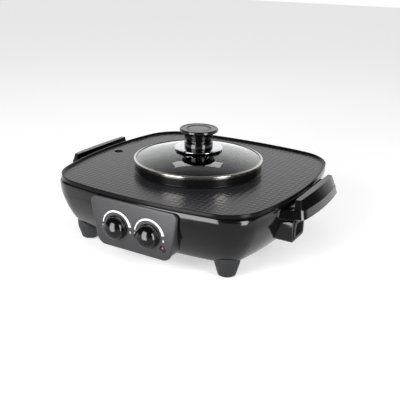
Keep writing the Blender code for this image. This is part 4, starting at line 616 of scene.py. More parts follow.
def add_piece(name, shape, finishes, body, replaced=(), forms=(), smooth_deg=SMOOTH_DEG, rounding=0.0):
    """Turn a shape into a finished piece that rides on a body and stands for the CAD nodes named."""
    mesh = mesh_of(name, shape)
    for title in finishes if isinstance(finishes, tuple) else (finishes,):
        mesh.materials.append(finish(title))
    piece = new_object(name, mesh)
    if forms:
        apply_forms(piece, forms)
    piece.data.shade_smooth()
    if rounding:
        bevel = piece.modifiers.new("edges", "BEVEL")
        bevel.width = rounding
        bevel.segments = BEVEL_SEGMENTS
        bevel.limit_method = "ANGLE"
        bevel.angle_limit = math.radians(smooth_deg)
        bevel.harden_normals = True
    else:
        piece.data.set_sharp_from_angle(angle=math.radians(smooth_deg))
    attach(piece, body)
    if replaced:
        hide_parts(*replaced)
    return piece


# Finishes

WAVE_REPEAT = math.tau / 20.0
SPECKLE_SHARE = 0.12
NOISE_LIMITS = (0.3, 0.7)
NOISE_ROUGHNESS = 0.55
ROLLING_SIZE = 4.0 * MM
ROLLING_STRETCH = 12.0
SPANGLE_SIZE = 5.0 * MM


def add_node(tree, kind, inputs=None, **settings):
    """Add a node with its settings; an input is a value, or the socket that feeds it."""
    node = tree.nodes.new(kind)
    for key, value in settings.items():
        setattr(node, key, value)
    for key, value in (inputs or {}).items():
        if isinstance(value, bpy.types.NodeSocket):
            tree.links.new(value, node.inputs[key])
        else:
            node.inputs[key].default_value = value
    return node


def maths(tree, operation, *values):
    """The result of a Math node."""
    return add_node(tree, "ShaderNodeMath", dict(enumerate(values)), operation=operation).outputs["Value"]


def ranged(tree, value, limits, results, kind="LINEAR"):
    """A value brought from one pair of limits to another."""
    inputs = {"Value": value, "From Min": limits[0], "From Max": limits[1], "To Min": results[0],
              "To Max": results[1]}
    return add_node(tree, "ShaderNodeMapRange", inputs, interpolation_type=kind).outputs["Result"]


def new_finish(name, colour, **sockets):
    """A material whose Principled shader has a colour and other plain sockets."""
    material = bpy.data.materials.new(name)
    material.use_nodes = True
    shader = material.node_tree.nodes["Principled BSDF"]
    shader.inputs["Base Color"].default_value = (*colour, 1.0)
    for key, value in sockets.items():
        shader.inputs[key.replace("_", " ")].default_value = value
    return material, material.node_tree, shader


def object_point(tree):
    """The point of the surface in metres, in the frame."""
    return add_node(tree, "ShaderNodeTexCoord").outputs["Object"]


def add_bump(tree, shader, height, distance):
    """Feed a height into the shader's normal, with its depth in metres."""
    bump = add_node(tree, "ShaderNodeBump", {"Height": height, "Distance": distance})
    tree.links.new(bump.outputs["Normal"], shader.inputs["Normal"])


def grain(tree, size, detail=3.0):
    """Noise whose lumps are about as wide as a size in metres."""
    inputs = {"Vector": object_point(tree), "Scale": 1.0 / size, "Detail": detail,
              "Roughness": NOISE_ROUGHNESS}
    return add_node(tree, "ShaderNodeTexNoise", inputs).outputs["Fac"]


def vary_roughness(tree, shader, height, low, high):
    """Let a pattern carry the roughness between two values."""
    tree.links.new(ranged(tree, height, NOISE_LIMITS, (low, high)), shader.inputs["Roughness"])


def vary_colour(tree, shader, height, dark, light):
    """Let a pattern carry the colour between two values."""
    mix = add_node(tree, "ShaderNodeMix", {"Factor": height, "A": (*dark, 1.0), "B": (*light, 1.0)},
                   data_type="RGBA")
    tree.links.new(mix.outputs[2], shader.inputs["Base Color"])


def scaled(colour, factor):
    """A colour made darker or lighter."""
    return tuple(min(value * factor, 1.0) for value in colour)


def bands(tree, spacing, way):
    """Waves whose crests are a spacing in metres apart."""
    return add_node(tree, "ShaderNodeTexWave", {"Vector": object_point(tree), "Scale": WAVE_REPEAT / spacing},
                    bands_direction=way).outputs["Fac"]


def embossed_coating(name):
    """Sprayed nonstick coating on a plate cast with fine crossed ridges: a grey satin with a woven look; its
    colour carries painted shade in the hollows between the ridges and painted highlight on their crests.
    """
    colour, sizes = bpy.context.scene.cooker_colours.coating, bpy.context.scene.cooker_sizes
    material, tree, shader = new_finish(name, colour, IOR=1.3)
    ridges = maths(tree, "MULTIPLY", *[bands(tree, sizes.emboss_pitch, way) for way in "XY"])
    speckle = grain(tree, size=0.9 * MM)
    add_bump(tree, shader, maths(tree, "MULTIPLY_ADD", speckle, SPECKLE_SHARE, ridges), sizes.emboss_depth)
    # Painted shade in the hollows and painted highlight on the crests: the colour follows the ridges' height
    vary_colour(tree, shader, ridges, dark=scaled(colour, 0.8), light=scaled(colour, 1.25))
    vary_roughness(tree, shader, speckle, low=0.16, high=0.26)
    return material


def rolled_stainless(name):
    """Rolled and polished stainless steel: a warm silver with faint rolling lines."""
    material, tree, shader = new_finish(name, bpy.context.scene.cooker_colours.steel, Metallic=1.0)
    stretched = add_node(tree, "ShaderNodeMapping", {"Vector": object_point(tree),
                                                     "Scale": (1.0, 1.0, ROLLING_STRETCH)}).outputs["Vector"]
    lines = add_node(tree, "ShaderNodeTexNoise", {"Vector": stretched, "Scale": 1.0 / ROLLING_SIZE,
                                                  "Detail": 2.0}).outputs["Fac"]
    vary_roughness(tree, shader, lines, low=0.13, high=0.24)
    add_bump(tree, shader, lines, distance=0.01 * MM)
    return material


def aluminised_sheet(name):
    """Hot-dip aluminised steel sheet: a dull silver with a soft spangle."""
    material, tree, shader = new_finish(name, bpy.context.scene.cooker_colours.zinc, Metallic=1.0)
    spangle = add_node(tree, "ShaderNodeTexVoronoi", {"Vector": object_point(tree),
                                                      "Scale": 1.0 / SPANGLE_SIZE})
    vary_roughness(tree, shader, spangle.outputs["Distance"], low=0.28, high=0.44)
    return material


def fibre_sleeve(name):
    """Woven glass-fibre sleeve round a wire: an off-white braid."""
    material, tree, shader = new_finish(name, bpy.context.scene.cooker_colours.sleeve, Roughness=0.7)
    add_bump(tree, shader, bands(tree, spacing=1.2 * MM, way="DIAGONAL"), distance=0.1 * MM)
    return material


def grained(name, colour, rough=None, bump=None, tint=0.0, **sockets):
    """A finish with even noise in its roughness, its height and its colour; sizes are in millimetres."""
    paint = getattr(bpy.context.scene.cooker_colours, colour)
    material, tree, shader = new_finish(name, paint, **sockets)
    if rough:
        size, low, high = rough
        noise = grain(tree, size * MM)
        vary_roughness(tree, shader, noise, low, high)
        if tint:
            vary_colour(tree, shader, noise, scaled(paint, 1 - tint), scaled(paint, 1 + tint))
    if bump:
        size, depth, detail = bump
        add_bump(tree, shader, grain(tree, size * MM, detail), depth * MM)
    return material


PATTERNED = {"embossed_nonstick_casting": embossed_coating, "rolled_stainless_steel": rolled_stainless,
             "hot_dip_aluminised_steel": aluminised_sheet, "woven_fibre_sleeve": fibre_sleeve}

# rough is the grain's size and the least and most roughness; bump is the grain's size, depth and detail.
# No name is one of the CAD's materials, because those are in the file already.
GRAINED = {
    # The sprayed coating on the casting's smooth collar, lip and pot: nearly black and glossy
    "smooth_nonstick_casting": dict(colour="coating_smooth", rough=(1.2, 0.18, 0.26), bump=(1.2, 0.01, 3.0),
                                    IOR=1.22),
    # Polished injection-moulded ABS: black, with slow waves from the mould's flow
    "polished_moulded_abs": dict(colour="shell", rough=(18.0, 0.09, 0.16), bump=(42.0, 0.25, 1.0), IOR=1.52),
    # Compression-moulded phenolic: black, hard and glossy
    "moulded_phenolic": dict(colour="handle", rough=(9.0, 0.10, 0.18), bump=(26.0, 0.12, 1.0), IOR=1.55),
    # Moulded ABS with a fine spark-eroded grain: a satin dark grey
    "satin_moulded_abs": dict(colour="panel", rough=(0.8, 0.30, 0.40), bump=(0.8, 0.02, 3.0), tint=0.15,
                              IOR=1.52),
    # Moulded ABS with a coarser grain: a matte dark grey
    "grained_moulded_abs": dict(colour="foot", rough=(1.1, 0.44, 0.58), bump=(1.1, 0.05, 3.0), tint=0.15,
                                IOR=1.52),
    # Chrome plating on a pressed steel disc: a mirror with a trace of haze
    "chrome_plated_steel": dict(colour="chrome", rough=(6.0, 0.04, 0.09), Metallic=1.0),
    # Tempered glass: clear and smooth, with a trace of waviness from the bending mould
    "bent_tempered_glass": dict(colour="glass", bump=(60.0, 0.05, 0.0), Roughness=0.0, IOR=1.5,
                                Transmission_Weight=1.0),
    # Moulded rubber: black and dull
    "moulded_rubber": dict(colour="rubber", bump=(1.0, 0.03, 3.0), Roughness=0.8),
    # Moulded nylon: an off-white, slightly waxy plastic
    "moulded_nylon": dict(colour="nylon", rough=(2.0, 0.4, 0.52)),
    # Pad-printed ink: a flat white
    "pad_printed_ink": dict(colour="print_ink", rough=(0.6, 0.45, 0.6)),
    # Moulded polycarbonate lens: a deep clear red over a dark chamber
    "tinted_polycarbonate": dict(colour="lens", rough=(2.0, 0.06, 0.12), IOR=1.58, Transmission_Weight=0.35),
    # Moulded melamine inlay: a warm dark grey with a low gloss
    "moulded_melamine": dict(colour="inlay", rough=(1.4, 0.16, 0.26), IOR=1.55),
}


def finish(name):
    """A finish by its name, made the first time that it is asked for."""
    made = bpy.data.materials.get(name)
    return made or (PATTERNED[name](name) if name in PATTERNED else grained(name, **GRAINED[name]))


# The plate and the shell

def plate_rings():
    """Rings of the casting: under the pot, out to the lip, over the grill and the collar, into the pot."""
    corner_r = POT_RADIUS - POT_DRAFT - POT_CORNER
    outer_corner = POT_CORNER + POT_WALL
    under = [(0.0, POT_FLOOR_Z - POT_WALL)]
    under += arc(corner_r, POT_FLOOR_Z + POT_CORNER, outer_corner, -90.0, 0.0)
    under += [(POT_RADIUS + POT_WALL, UNDERSIDE_Z)]
    rim = arc(-LIP_ROUND, UNDERSIDE_Z + LIP_ROUND, LIP_ROUND, -90.0, 0.0, EDGE_STEPS)
    rim += arc(-LIP_ROUND, LIP_TOP_Z - LIP_ROUND, LIP_ROUND, 0.0, 90.0, EDGE_STEPS)
    rim += [(-LIP_WIDTH + FLAT_EDGE, LIP_TOP_Z), (-LIP_WIDTH, LIP_TOP_Z - FLAT_EDGE / 3)]
    rim += [(-LIP_WIDTH - LIP_SLOPE + FLAT_EDGE, GRILL_Z + FLAT_EDGE / 2), (-LIP_WIDTH - LIP_SLOPE, GRILL_Z)]
    rim += [(-LIP_WIDTH - LIP_SLOPE - FLAT_EDGE, GRILL_Z)]
    top = [(COLLAR_RADIUS + COLLAR_FILLET + FLAT_EDGE, GRILL_Z)]
    top += arc(COLLAR_RADIUS + COLLAR_FILLET, GRILL_Z + COLLAR_FILLET, COLLAR_FILLET, 270.0, 180.0,
               FILLET_STEPS)
    for radius, start_deg in ((COLLAR_RADIUS - COLLAR_ROUND, 0.0), (POT_RADIUS + COLLAR_ROUND, 90.0)):
        top += arc(radius, COLLAR_TOP_Z - COLLAR_ROUND, COLLAR_ROUND, start_deg, start_deg + 90.0, EDGE_STEPS)
    top += arc(corner_r, POT_FLOOR_Z + POT_CORNER, POT_CORNER, 0.0, -90.0, FILLET_STEPS)
    top += [(0.0, POT_FLOOR_Z)]
    rings = [(circle_like(radius), z) for radius, z in under]
    rings += [(plate_outline(-offset), z) for offset, z in rim]
    return rings + [(circle_like(radius), z) for radius, z in top]


def make_plate():
    """The cast plate with its drain hole and its bosses; only its flat top is embossed."""
    shape = swept(plate_rings())
    for face in shape.faces:
        flat = all(abs(vert.co.z - GRILL_Z) < WELD_DISTANCE for vert in face.verts)
        face.material_index = 1 if flat else 0
    drain = turned([(0.0, UNDERSIDE_Z - OVERRUN), (DRAIN_RADIUS, UNDERSIDE_Z - OVERRUN),
                    (DRAIN_RADIUS, GRILL_Z - DRAIN_CHAMFER), (DRAIN_RADIUS + DRAIN_CHAMFER, GRILL_Z),
                    (DRAIN_RADIUS + DRAIN_CHAMFER, GRILL_Z + OVERRUN), (0.0, GRILL_Z + OVERRUN)], BORE_STEPS)
    forms = cuts(moved(drain, DRAIN_X))
    sites = [(side_x * TIE_X, side_y * TIE_Y, UNDERSIDE_Z, BOSS_LENGTH, BOSS_RADIUS)
             for side_x in (-1, 1) for side_y in (-1, 1)]
    sites.append((0.0, 0.0, POT_FLOOR_Z - POT_WALL, POT_BOSS_LENGTH, POT_BOSS_RADIUS))
    for x, y, top, length, radius in sites:
        boss = turned([(BOSS_HOLE_RADIUS, top), (BOSS_HOLE_RADIUS, top - length), (radius, top - length),
                       (radius, top + PLATE_THICKNESS / 2), (0.0, top + PLATE_THICKNESS / 2),
                       (0.0, top), (BOSS_HOLE_RADIUS, top)], BOSS_STEPS)
        forms.append(("UNION", moved(boss, x, y)))
    add_piece("grill_casting", shape, ("smooth_nonstick_casting", "embossed_nonstick_casting"), "base",
              ("grill_plate",), forms)


def shell_ring(down, inward, inset=0.0):
    """The shell's outline at a share of its depth and of its taper, moved inwards, with its height."""
    outline = plate_outline(SHOULDER_INSET + SHELL_TAPER * inward + inset, SHOULDER_CORNER)
    return outline, SHOULDER_Z - SHELL_DROP * down


def shell_profile():
    """Rings of the shell's outer skin, from its top edge over a rounded shoulder to its flat bottom."""
    top = plate_outline(SHELL_TOP_INSET + SHOULDER_ROUND)
    shoulder = plate_outline(SHOULDER_INSET, SHOULDER_CORNER)
    rings = []
    for step in range(SHOULDER_STEPS):
        turn = math.pi / 2 * step / SHOULDER_STEPS
        height = SHELL_HIGH.z - SHOULDER_DROP * (1 - math.cos(turn))
        rings.append((blended(top, shoulder, math.sin(turn)), height))
    return rings + [shell_ring(*shares) for shares in smooth_line(SHELL_SHARES, PROFILE_STEPS)]


def shell_form():
    """The shell's outer form as a closed solid, grown by a clearance, that other pieces are fitted to."""
    rings = [(plate_outline(SHELL_TOP_INSET - SEAT_GAP), SHELL_HIGH.z + SEAT_GAP)]
    rings += [shell_ring(*shares, -SEAT_GAP) for shares in smooth_line(SHELL_SHARES, PROFILE_STEPS)]
    rings.append((rings[-1][0], SHELL_LOW.z - SEAT_GAP))
    point = [(0.0, 0.0)] * len(rings[0][0])
    return swept([(point, rings[0][1])] + rings + [(point, rings[-1][1])])


def make_shell():
    """The glossy shell with its wall, its flange, and windows for the panel, the inlet and the fat cup."""
    outer = shell_profile()
    floor = SHELL_LOW.z + SHELL_WALL
    edge = plate_outline(SHOULDER_INSET + SHELL_TAPER + SHELL_FLANGE, CORNER_RADIUS + SHELL_FLANGE)
    inner = [shell_ring(*shares, SHELL_WALL) for shares in reversed(SHELL_SHARES)]
    rings = outer + [(edge, SHELL_LOW.z), (edge, floor)] + [(outline, max(z, floor)) for outline, z in inner]
    rings += [(plate_outline(SHELL_TOP_INSET + SHOULDER_ROUND + SHELL_WALL), SHELL_HIGH.z), outer[0]]
    wide = PANEL_BOTTOM_HALF - WINDOW_MARGIN
    window = block((-wide, PANEL_FACE_Y - OVERRUN, PANEL_LOW.z + WINDOW_MARGIN),
                   (wide, PANEL_BACK_Y + HOUSING_DEPTH, PANEL_HIGH.z - WINDOW_MARGIN))
    hole = rectangle(SOCKET_HEIGHT + SOCKET_PLAY, SOCKET_WIDTH + SOCKET_PLAY, SOCKET_ROUND)
    socket = along_x(prism(hole, -INLET_DEPTH, OVERRUN), INLET_FACE_X, INLET_Y, INLET_Z)
    half = (SLEEVE_HIGH.y - SLEEVE_LOW.y) / 2 + SEAT_GAP
    sleeve = block((SLEEVE_LOW.x - OVERRUN, -half, SLEEVE_LOW.z - SEAT_GAP),
                   (SLEEVE_HIGH.x, half, SLEEVE_HIGH.z + SEAT_GAP))
    add_piece("shell", swept(rings), "polished_moulded_abs", "base", ("body_shell",),
              cuts(window, socket, sleeve), SHELL_SMOOTH_DEG)


def make_feet():
    """Four tapered feet with rounded toes, fitted to the shell's underside."""
    low = FOOT_LOW.z
    seat = FOOT_PAD_RADIUS + SEAT_GAP
    profile = [(0.0, low + FOOT_PAD_RECESS), (seat, low + FOOT_PAD_RECESS), (seat, low)]
    profile += arc(FOOT_BOTTOM_RADIUS - FOOT_ROUND, low + FOOT_ROUND, FOOT_ROUND, -90.0, FOOT_SIDE_DEG)
    profile += [(FOOT_TOP_RADIUS, SHELL_LOW.z), (FOOT_TOP_RADIUS + FOOT_FLARE, FOOT_HIGH.z),
                (0.0, FOOT_HIGH.z)]
    foot_x = (FOOT_LOW.x + FOOT_HIGH.x) / 2
    foot_y = (FOOT_LOW.y + FOOT_HIGH.y) / 2 - CENTRE_Y
    for corner in CORNERS:
        side, end = 1 if "right" in corner else -1, 1 if "rear" in corner else -1
        foot = moved(turned(profile, FOOT_STEPS), side * foot_x, end * foot_y)
        add_piece("foot_moulding_" + corner, foot, "grained_moulded_abs", "base",
                  ("foot_" + corner,), cuts(shell_form()), SHELL_SMOOTH_DEG)


# Handles

def grip_edge(outer_x, bow, half_length):
    """Points of a bowed edge of the grip, from its front end to its rear end."""
    shares = [2 * step / GRIP_STEPS - 1 for step in range(GRIP_STEPS + 1)]
    return [(outer_x - bow * share ** 2, half_length * share) for share in shares]


def loop_outline(cut=0.0):
    """The loop seen from above, its outer side moved inwards: two slanting arms and the bowed grip."""
    inner_x = HALF_X + GRIP_FINGER_GAP
    edge = grip_edge(inner_x + GRIP_DEPTH - cut, GRIP_BOW, GRIP_HALF_LENGTH - LOOP_CORNER_SHARE * cut)
    root = ARM_ROOT_HALF - LOOP_ROOT_SHARE * cut
    outer = [(ARM_ROOT_X, -root)] + edge + [(ARM_ROOT_X, root)]
    inner_y = GRIP_HALF_LENGTH - ARM_WIDTH
    root_y = ARM_ROOT_HALF - ARM_ROOT_WIDTH
    inner = [(ARM_ROOT_X, root_y), (inner_x, inner_y), (inner_x, -inner_y), (ARM_ROOT_X, -root_y)]
    radii = [0.0] * (len(outer) + len(inner))
    radii[1] = radii[len(edge)] = GRIP_CORNER
    return round_corners(outer + inner, radii, 1)


def grip_ring(outer_x, bow, half_length, corner):
    """One outline of the raised grip; its ends run at a slant to the arms."""
    inner_x = HALF_X + GRIP_FINGER_GAP + GRIP_LEDGE
    end_x = outer_x - bow - corner
    end_y = half_length + corner * GRIP_END_SLANT
    inner_y = end_y + (end_x - inner_x) * GRIP_END_SLANT
    edge = grip_edge(outer_x, bow, half_length - corner)
    return [(inner_x, -inner_y), (end_x, -end_y)] + edge + [(end_x, end_y), (inner_x, inner_y)]


def make_handles():
    """Two loop handles with a raised grip that leans in to a narrow top, and fine rounded edges."""
    sizes = bpy.context.scene.cooker_sizes
    shoulder = HANDLE_LOW.z + LOOP_HEIGHT
    inner_x = HALF_X + GRIP_FINGER_GAP
    reach = GRIP_DEPTH - LOOP_DRAFT - GRIP_LEDGE
    foot = grip_ring(inner_x + reach, GRIP_BOW, GRIP_HALF_LENGTH - LOOP_DRAFT, GRIP_FOOT_CORNER)
    top = grip_ring(inner_x + GRIP_TOP_WIDTH, GRIP_TOP_BOW, GRIP_TOP_HALF_LENGTH, GRIP_LEDGE)
    for name in ("left", "right"):
        loop = capped([(loop_outline(LOOP_BEVEL), HANDLE_LOW.z), (loop_outline(), HANDLE_LOW.z + LOOP_BEVEL),
                       (loop_outline(LOOP_DRAFT), shoulder)])
        grip = capped([(foot, shoulder - GRIP_SINK), (foot, shoulder), (top, shoulder + GRIP_RISE)])
        if name == "left":
            loop, grip = mirrored(loop), mirrored(grip)
        add_piece("grip_" + name, loop, "moulded_phenolic", "base", ("handle_" + name,),
                  [("UNION", grip)] + cuts(shell_form()), rounding=sizes.edge_round)


# Control housing, panel and dials

def panel_outline(side=0.0, top=0.0, bottom=0.0):
    """The panel's outline in its own plane, moved inwards at its sides, its top and its bottom."""
    slope = (PANEL_TOP_HALF - PANEL_BOTTOM_HALF) / (PANEL_HIGH.z - PANEL_LOW.z)
    high, low = PANEL_HIGH.z - top, PANEL_LOW.z + bottom
    side *= math.hypot(1.0, slope)
    wide_top = PANEL_TOP_HALF - slope * top - side
    wide_bottom = PANEL_BOTTOM_HALF + slope * bottom - side
    corners = [(-wide_bottom, low), (wide_bottom, low), (wide_top, high), (-wide_top, high)]
    radii = [PANEL_BOTTOM_ROUND - max(side, bottom)] * 2 + [PANEL_TOP_ROUND + PANEL_RIM - side] * 2
    return round_corners(corners, radii, PANEL_CORNER_STEPS)


def make_panel():
    """The housing frame fitted to the shell, and the satin panel with its broad rounded rim and its holes."""
    front = -PANEL_BACK_Y - SEAT_GAP
    back = front - HOUSING_DEPTH
    rise = HOUSING_INSET - PANEL_RIM_RISE
    within = HOUSING_INSET + HOUSING_WALL
    outer = panel_outline(HOUSING_INSET, rise, HOUSING_INSET)
    inner = panel_outline(within, rise + HOUSING_WALL, within)
    housing = swept([(outer, back), (outer, front), (inner, front), (inner, back), (outer, back)])
    add_piece("housing_frame", along_front(housing), "satin_moulded_abs", "base",
              ("control_housing",), cuts(shell_form()))
    rings = [(panel_outline(0.0, -PANEL_RIM_RISE, 0.0), -PANEL_BACK_Y)]
    for step in range(RIM_STEPS + 1):
        turn = math.pi / 2 * step / RIM_STEPS
        inward = 1 - math.cos(turn)
        side = PANEL_RIM * inward
        outline = panel_outline(side, PANEL_RIM_RISE * (inward - 1), PANEL_RIM_LOW_SHARE * side)
        rings.append((outline, -PANEL_FACE_Y - PANEL_RIM_DEPTH * (1 - math.sin(turn))))
    holes = [(-DIAL_X, DIAL_Z, SHAFT_HOLE_RADIUS), (DIAL_X, DIAL_Z, SHAFT_HOLE_RADIUS),
             (LAMP_X, LAMP_Z, LENS_RADIUS + SEAT_GAP)]
    bores = [along_front(rod(radius, -OVERRUN, OVERRUN), x, PANEL_FACE_Y, z) for x, z, radius in holes]
    add_piece("panel_plate", along_front(capped(rings)), "satin_moulded_abs", "base",
              ("control_panel",), cuts(*bores))


def scale_band(radius, start_width, end_width):
    """A flat band over a dial, from 9 to 3 o'clock, that widens clockwise."""
    outline = []
    shares = [step / SCALE_STEPS for step in range(SCALE_STEPS + 1)]
    for side, order in ((1, shares), (-1, reversed(shares))):
        for share in order:
            turn = math.radians(SCALE_START_DEG - SCALE_SWEEP_DEG * share)
            reach = radius + side * (start_width + (end_width - start_width) * share) / 2
            outline.append((reach * math.cos(turn), reach * math.sin(turn)))
    return prism(outline, 0.0, PRINT_THICKNESS)


def number_shape(text, height):
    """A number as a thin flat solid about the origin."""
    curve = bpy.data.curves.new("number", "FONT")
    curve.body = text
    curve.size = height / NUMBER_CAP_SHARE
    curve.align_x = "CENTER"
    curve.align_y = "CENTER"
    writer = new_object("number", curve)
    shape = bmesh.new()
    shape.from_mesh(evaluated_mesh(writer))
    bpy.data.objects.remove(writer, do_unlink=True)
    return thickened(shape, PRINT_THICKNESS)


def make_print():
    """The printed scales over the dials, with a plain number at each end."""
    sizes = bpy.context.scene.cooker_sizes
    radius = sizes.scale_radius
    number_z = DIAL_Z - NUMBER_DROP_SHARE * sizes.number_height
    for name, x in DIALS:
        band = along_front(scale_band(radius, sizes.scale_start, sizes.scale_end), x, PANEL_FACE_Y, DIAL_Z)
        add_piece("scale_" + name, band, "pad_printed_ink", "base")
        for label, text, shift in (("low", sizes.number_low, -radius), ("high", sizes.number_high, radius)):
            shape = along_front(number_shape(text, sizes.number_height), x + shift, PANEL_FACE_Y, number_z)
            add_piece(f"number_{name}_{label}", shape, "pad_printed_ink", "base")


def beaked_circle(radius, reach=0.0):
    """A circle whose side at -X is drawn out to a point where its reach is more than its radius."""
    spread = math.acos(radius / reach) if reach > radius else 0.0
    points = []
    for step in range(TURN_STEPS):
        turn = math.tau * step / TURN_STEPS
        distance = radius / math.cos(max(0.0, spread - abs(turn - math.pi)))
        points.append((distance * math.cos(turn), distance * math.sin(turn)))
    return points


def make_knobs():
    """Two glossy dial knobs: a round skirt below a tall dome, which is drawn out to a beak."""
    foot = KNOB_AIR + KNOB_SKIRT
    rings = [(beaked_circle(KNOB_RADIUS), KNOB_AIR)]
    rings += [(beaked_circle(radius), z) for radius, z in
              arc(KNOB_RADIUS - KNOB_ROUND, foot - KNOB_ROUND, KNOB_ROUND, 0.0, 90.0, EDGE_STEPS)]
    rings.append((beaked_circle(KNOB_BODY_RADIUS, KNOB_POINTER), foot))
    for step in range(1, KNOB_DOME_STEPS):
        turn = math.pi / 2 * step / KNOB_DOME_STEPS
        share = math.cos(turn) ** KNOB_FULLNESS
        height = (KNOB_HEIGHT - KNOB_SKIRT) * math.sin(turn) ** KNOB_FULLNESS
        rings.append((beaked_circle(KNOB_BODY_RADIUS * share, KNOB_POINTER * share), foot + height))
    rings.append(([(0.0, 0.0)] * TURN_STEPS, KNOB_AIR + KNOB_HEIGHT))
    for name, x in DIALS:
        place = (x, PANEL_FACE_Y, DIAL_Z)
        bore = along_front(rod(KNOB_BORE_RADIUS, KNOB_AIR - OVERRUN, KNOB_AIR + KNOB_BORE_DEPTH), *place)
        add_piece("dial_knob_" + name, along_front(capped(rings), *place), "moulded_phenolic", "dial_" + name,
                  ("knob_" + name,), cuts(bore), KNOB_SMOOTH_DEG)


def make_lamp():
    """The domed red lens in its black bezel."""
    place = (LAMP_X, PANEL_FACE_Y, LAMP_Z)
    seat = PANEL_FACE_Y - PANEL_BACK_Y - SEAT_GAP
    flange = LENS_RADIUS + LENS_FLANGE
    profile = [(0.0, seat - LENS_FLANGE), (flange, seat - LENS_FLANGE), (flange, seat), (LENS_RADIUS, seat)]
    profile += [(radius, z * LENS_PROUD / LENS_RADIUS)
                for radius, z in arc(0.0, 0.0, LENS_RADIUS, 0.0, 90.0, LENS_STEPS)]
    add_piece("lamp_lens", along_front(turned(profile, BORE_STEPS), *place), "tinted_polycarbonate", "base",
              ("pilot_lens",))
    inner = LENS_RADIUS + SEAT_GAP
    ring = [(inner, 0.0)] + arc(inner + BEZEL_WIDTH / 2, 0.0, BEZEL_WIDTH / 2, 180.0, 0.0, FILLET_STEPS)
    ring = [(radius, height * 2 * BEZEL_PROUD / BEZEL_WIDTH) for radius, height in ring] + [(inner, 0.0)]
    add_piece("lamp_bezel", along_front(turned(ring, BORE_STEPS), *place), "moulded_phenolic", "base")


# Power inlet

def make_inlet():
    """The inlet's box with a softly rounded face, and the recessed socket in it."""
    outer = [(rectangle(INLET_HEIGHT + 2 * grow, INLET_WIDTH + 2 * grow, INLET_ROUND + grow), z)
             for grow, z in arc(-INLET_EDGE, -INLET_EDGE, INLET_EDGE, 0.0, 90.0, EDGE_STEPS)]
    hole = rectangle(SOCKET_HEIGHT + 2 * SEAT_GAP, SOCKET_WIDTH + 2 * SEAT_GAP, SOCKET_ROUND)
    start = (rectangle(INLET_HEIGHT, INLET_WIDTH, INLET_ROUND), -INLET_DEPTH)
    rings = [start] + outer + [(hole, 0.0), (hole, -INLET_DEPTH), start]
    place = (INLET_FACE_X, INLET_Y, INLET_Z)
    add_piece("inlet_box", along_x(swept(rings), *place), "polished_moulded_abs", "base",
              ("inlet_housing",), cuts(shell_form()))
    thin = 2 * SOCKET_WALL
    wide = rectangle(SOCKET_HEIGHT, SOCKET_WIDTH, SOCKET_ROUND)
    rim = rectangle(SOCKET_HEIGHT + 2 * thin, SOCKET_WIDTH + 2 * thin, SOCKET_ROUND)
    hollow = rectangle(SOCKET_HEIGHT - thin, SOCKET_WIDTH - thin, SOCKET_ROUND - SOCKET_WALL)
    front = SEAT_GAP + SOCKET_RIM
    rings = [(wide, -SOCKET_DEPTH - SOCKET_BACK), (wide, SEAT_GAP), (rim, SEAT_GAP), (rim, front),
             (hollow, front), (hollow, -SOCKET_DEPTH)]
    add_piece("inlet_liner", along_x(capped(rings), *place), "grained_moulded_abs", "base",
              ("inlet_socket",), rounding=SOCKET_EDGE_ROUND)


# Fat cup

def make_cup():
    """The cup that catches the fat, with its front and pull, and the sleeve that it slides in."""
    sizes = bpy.context.scene.cooker_sizes
    half = (SLEEVE_HIGH.y - SLEEVE_LOW.y) / 2
    low, high = SLEEVE_LOW.z, SLEEVE_HIGH.z
    face, end = SLEEVE_LOW.x, SLEEVE_HIGH.x
    shape = block((face, -half, low), (end, half, high))
    hollow = block((face - OVERRUN, SLEEVE_WALL - half, low + SLEEVE_WALL),
                   (end + OVERRUN, half - SLEEVE_WALL, high - SLEEVE_WALL))
    drain = moved(rod(DRAIN_RADIUS, high - SLEEVE_WALL - OVERRUN, high + OVERRUN), DRAIN_X)
    add_piece("cup_sleeve", shape, "grained_moulded_abs", "base", ("oil_cup_sleeve",),
              cuts(hollow, drain), rounding=sizes.edge_round)
    gap = SLEEVE_WALL + CUP_GAP
    front = face - SEAT_GAP
    top = high - gap - CUP_TOP_GAP + SLEEVE_WALL
    inner_half = half - gap
    body = block((front - CUP_EDGE, -inner_half, low + gap), (end - CUP_GAP, inner_half, top))
    plate = block((front - CUP_FRONT_THICKNESS, -half, low), (front, half, high))
    middle = (low + high) / 2
    pull = block((front - CUP_FRONT_THICKNESS - CUP_PULL, -CUP_PULL_WIDTH / 2, middle),
                 (front - CUP_EDGE, CUP_PULL_WIDTH / 2, middle + CUP_PULL_THICKNESS))
    inside = block((face + CUP_WALL, CUP_WALL - inner_half, low + gap + CUP_WALL),
                   (end - CUP_GAP - CUP_WALL, inner_half - CUP_WALL, high + OVERRUN))
    add_piece("fat_cup", body, "grained_moulded_abs", "cup", ("oil_cup",),
              [("UNION", plate), ("UNION", pull)] + cuts(inside), rounding=sizes.edge_round)


# Lid

def dome_z(radius):
    """Height of the top of the lid's glass at a radius."""
    return GLASS_TOP_Z - DOME_RADIUS + math.sqrt(DOME_RADIUS ** 2 - radius ** 2)


def leaned_on_glass(shape):
    """Place a shape made round the Z axis at the vent, square to the glass, with its origin mid-glass."""
    radius = math.hypot(VENT_X, VENT_Y)
    lean = Matrix.Rotation(math.asin(radius / DOME_RADIUS), 4, Vector((-VENT_Y, VENT_X, 0.0)))
    place = Matrix.Translation((VENT_X, VENT_Y, dome_z(radius) - GLASS_THICKNESS / 2))
    bmesh.ops.transform(shape, matrix=place @ lean, verts=shape.verts)
    return shape


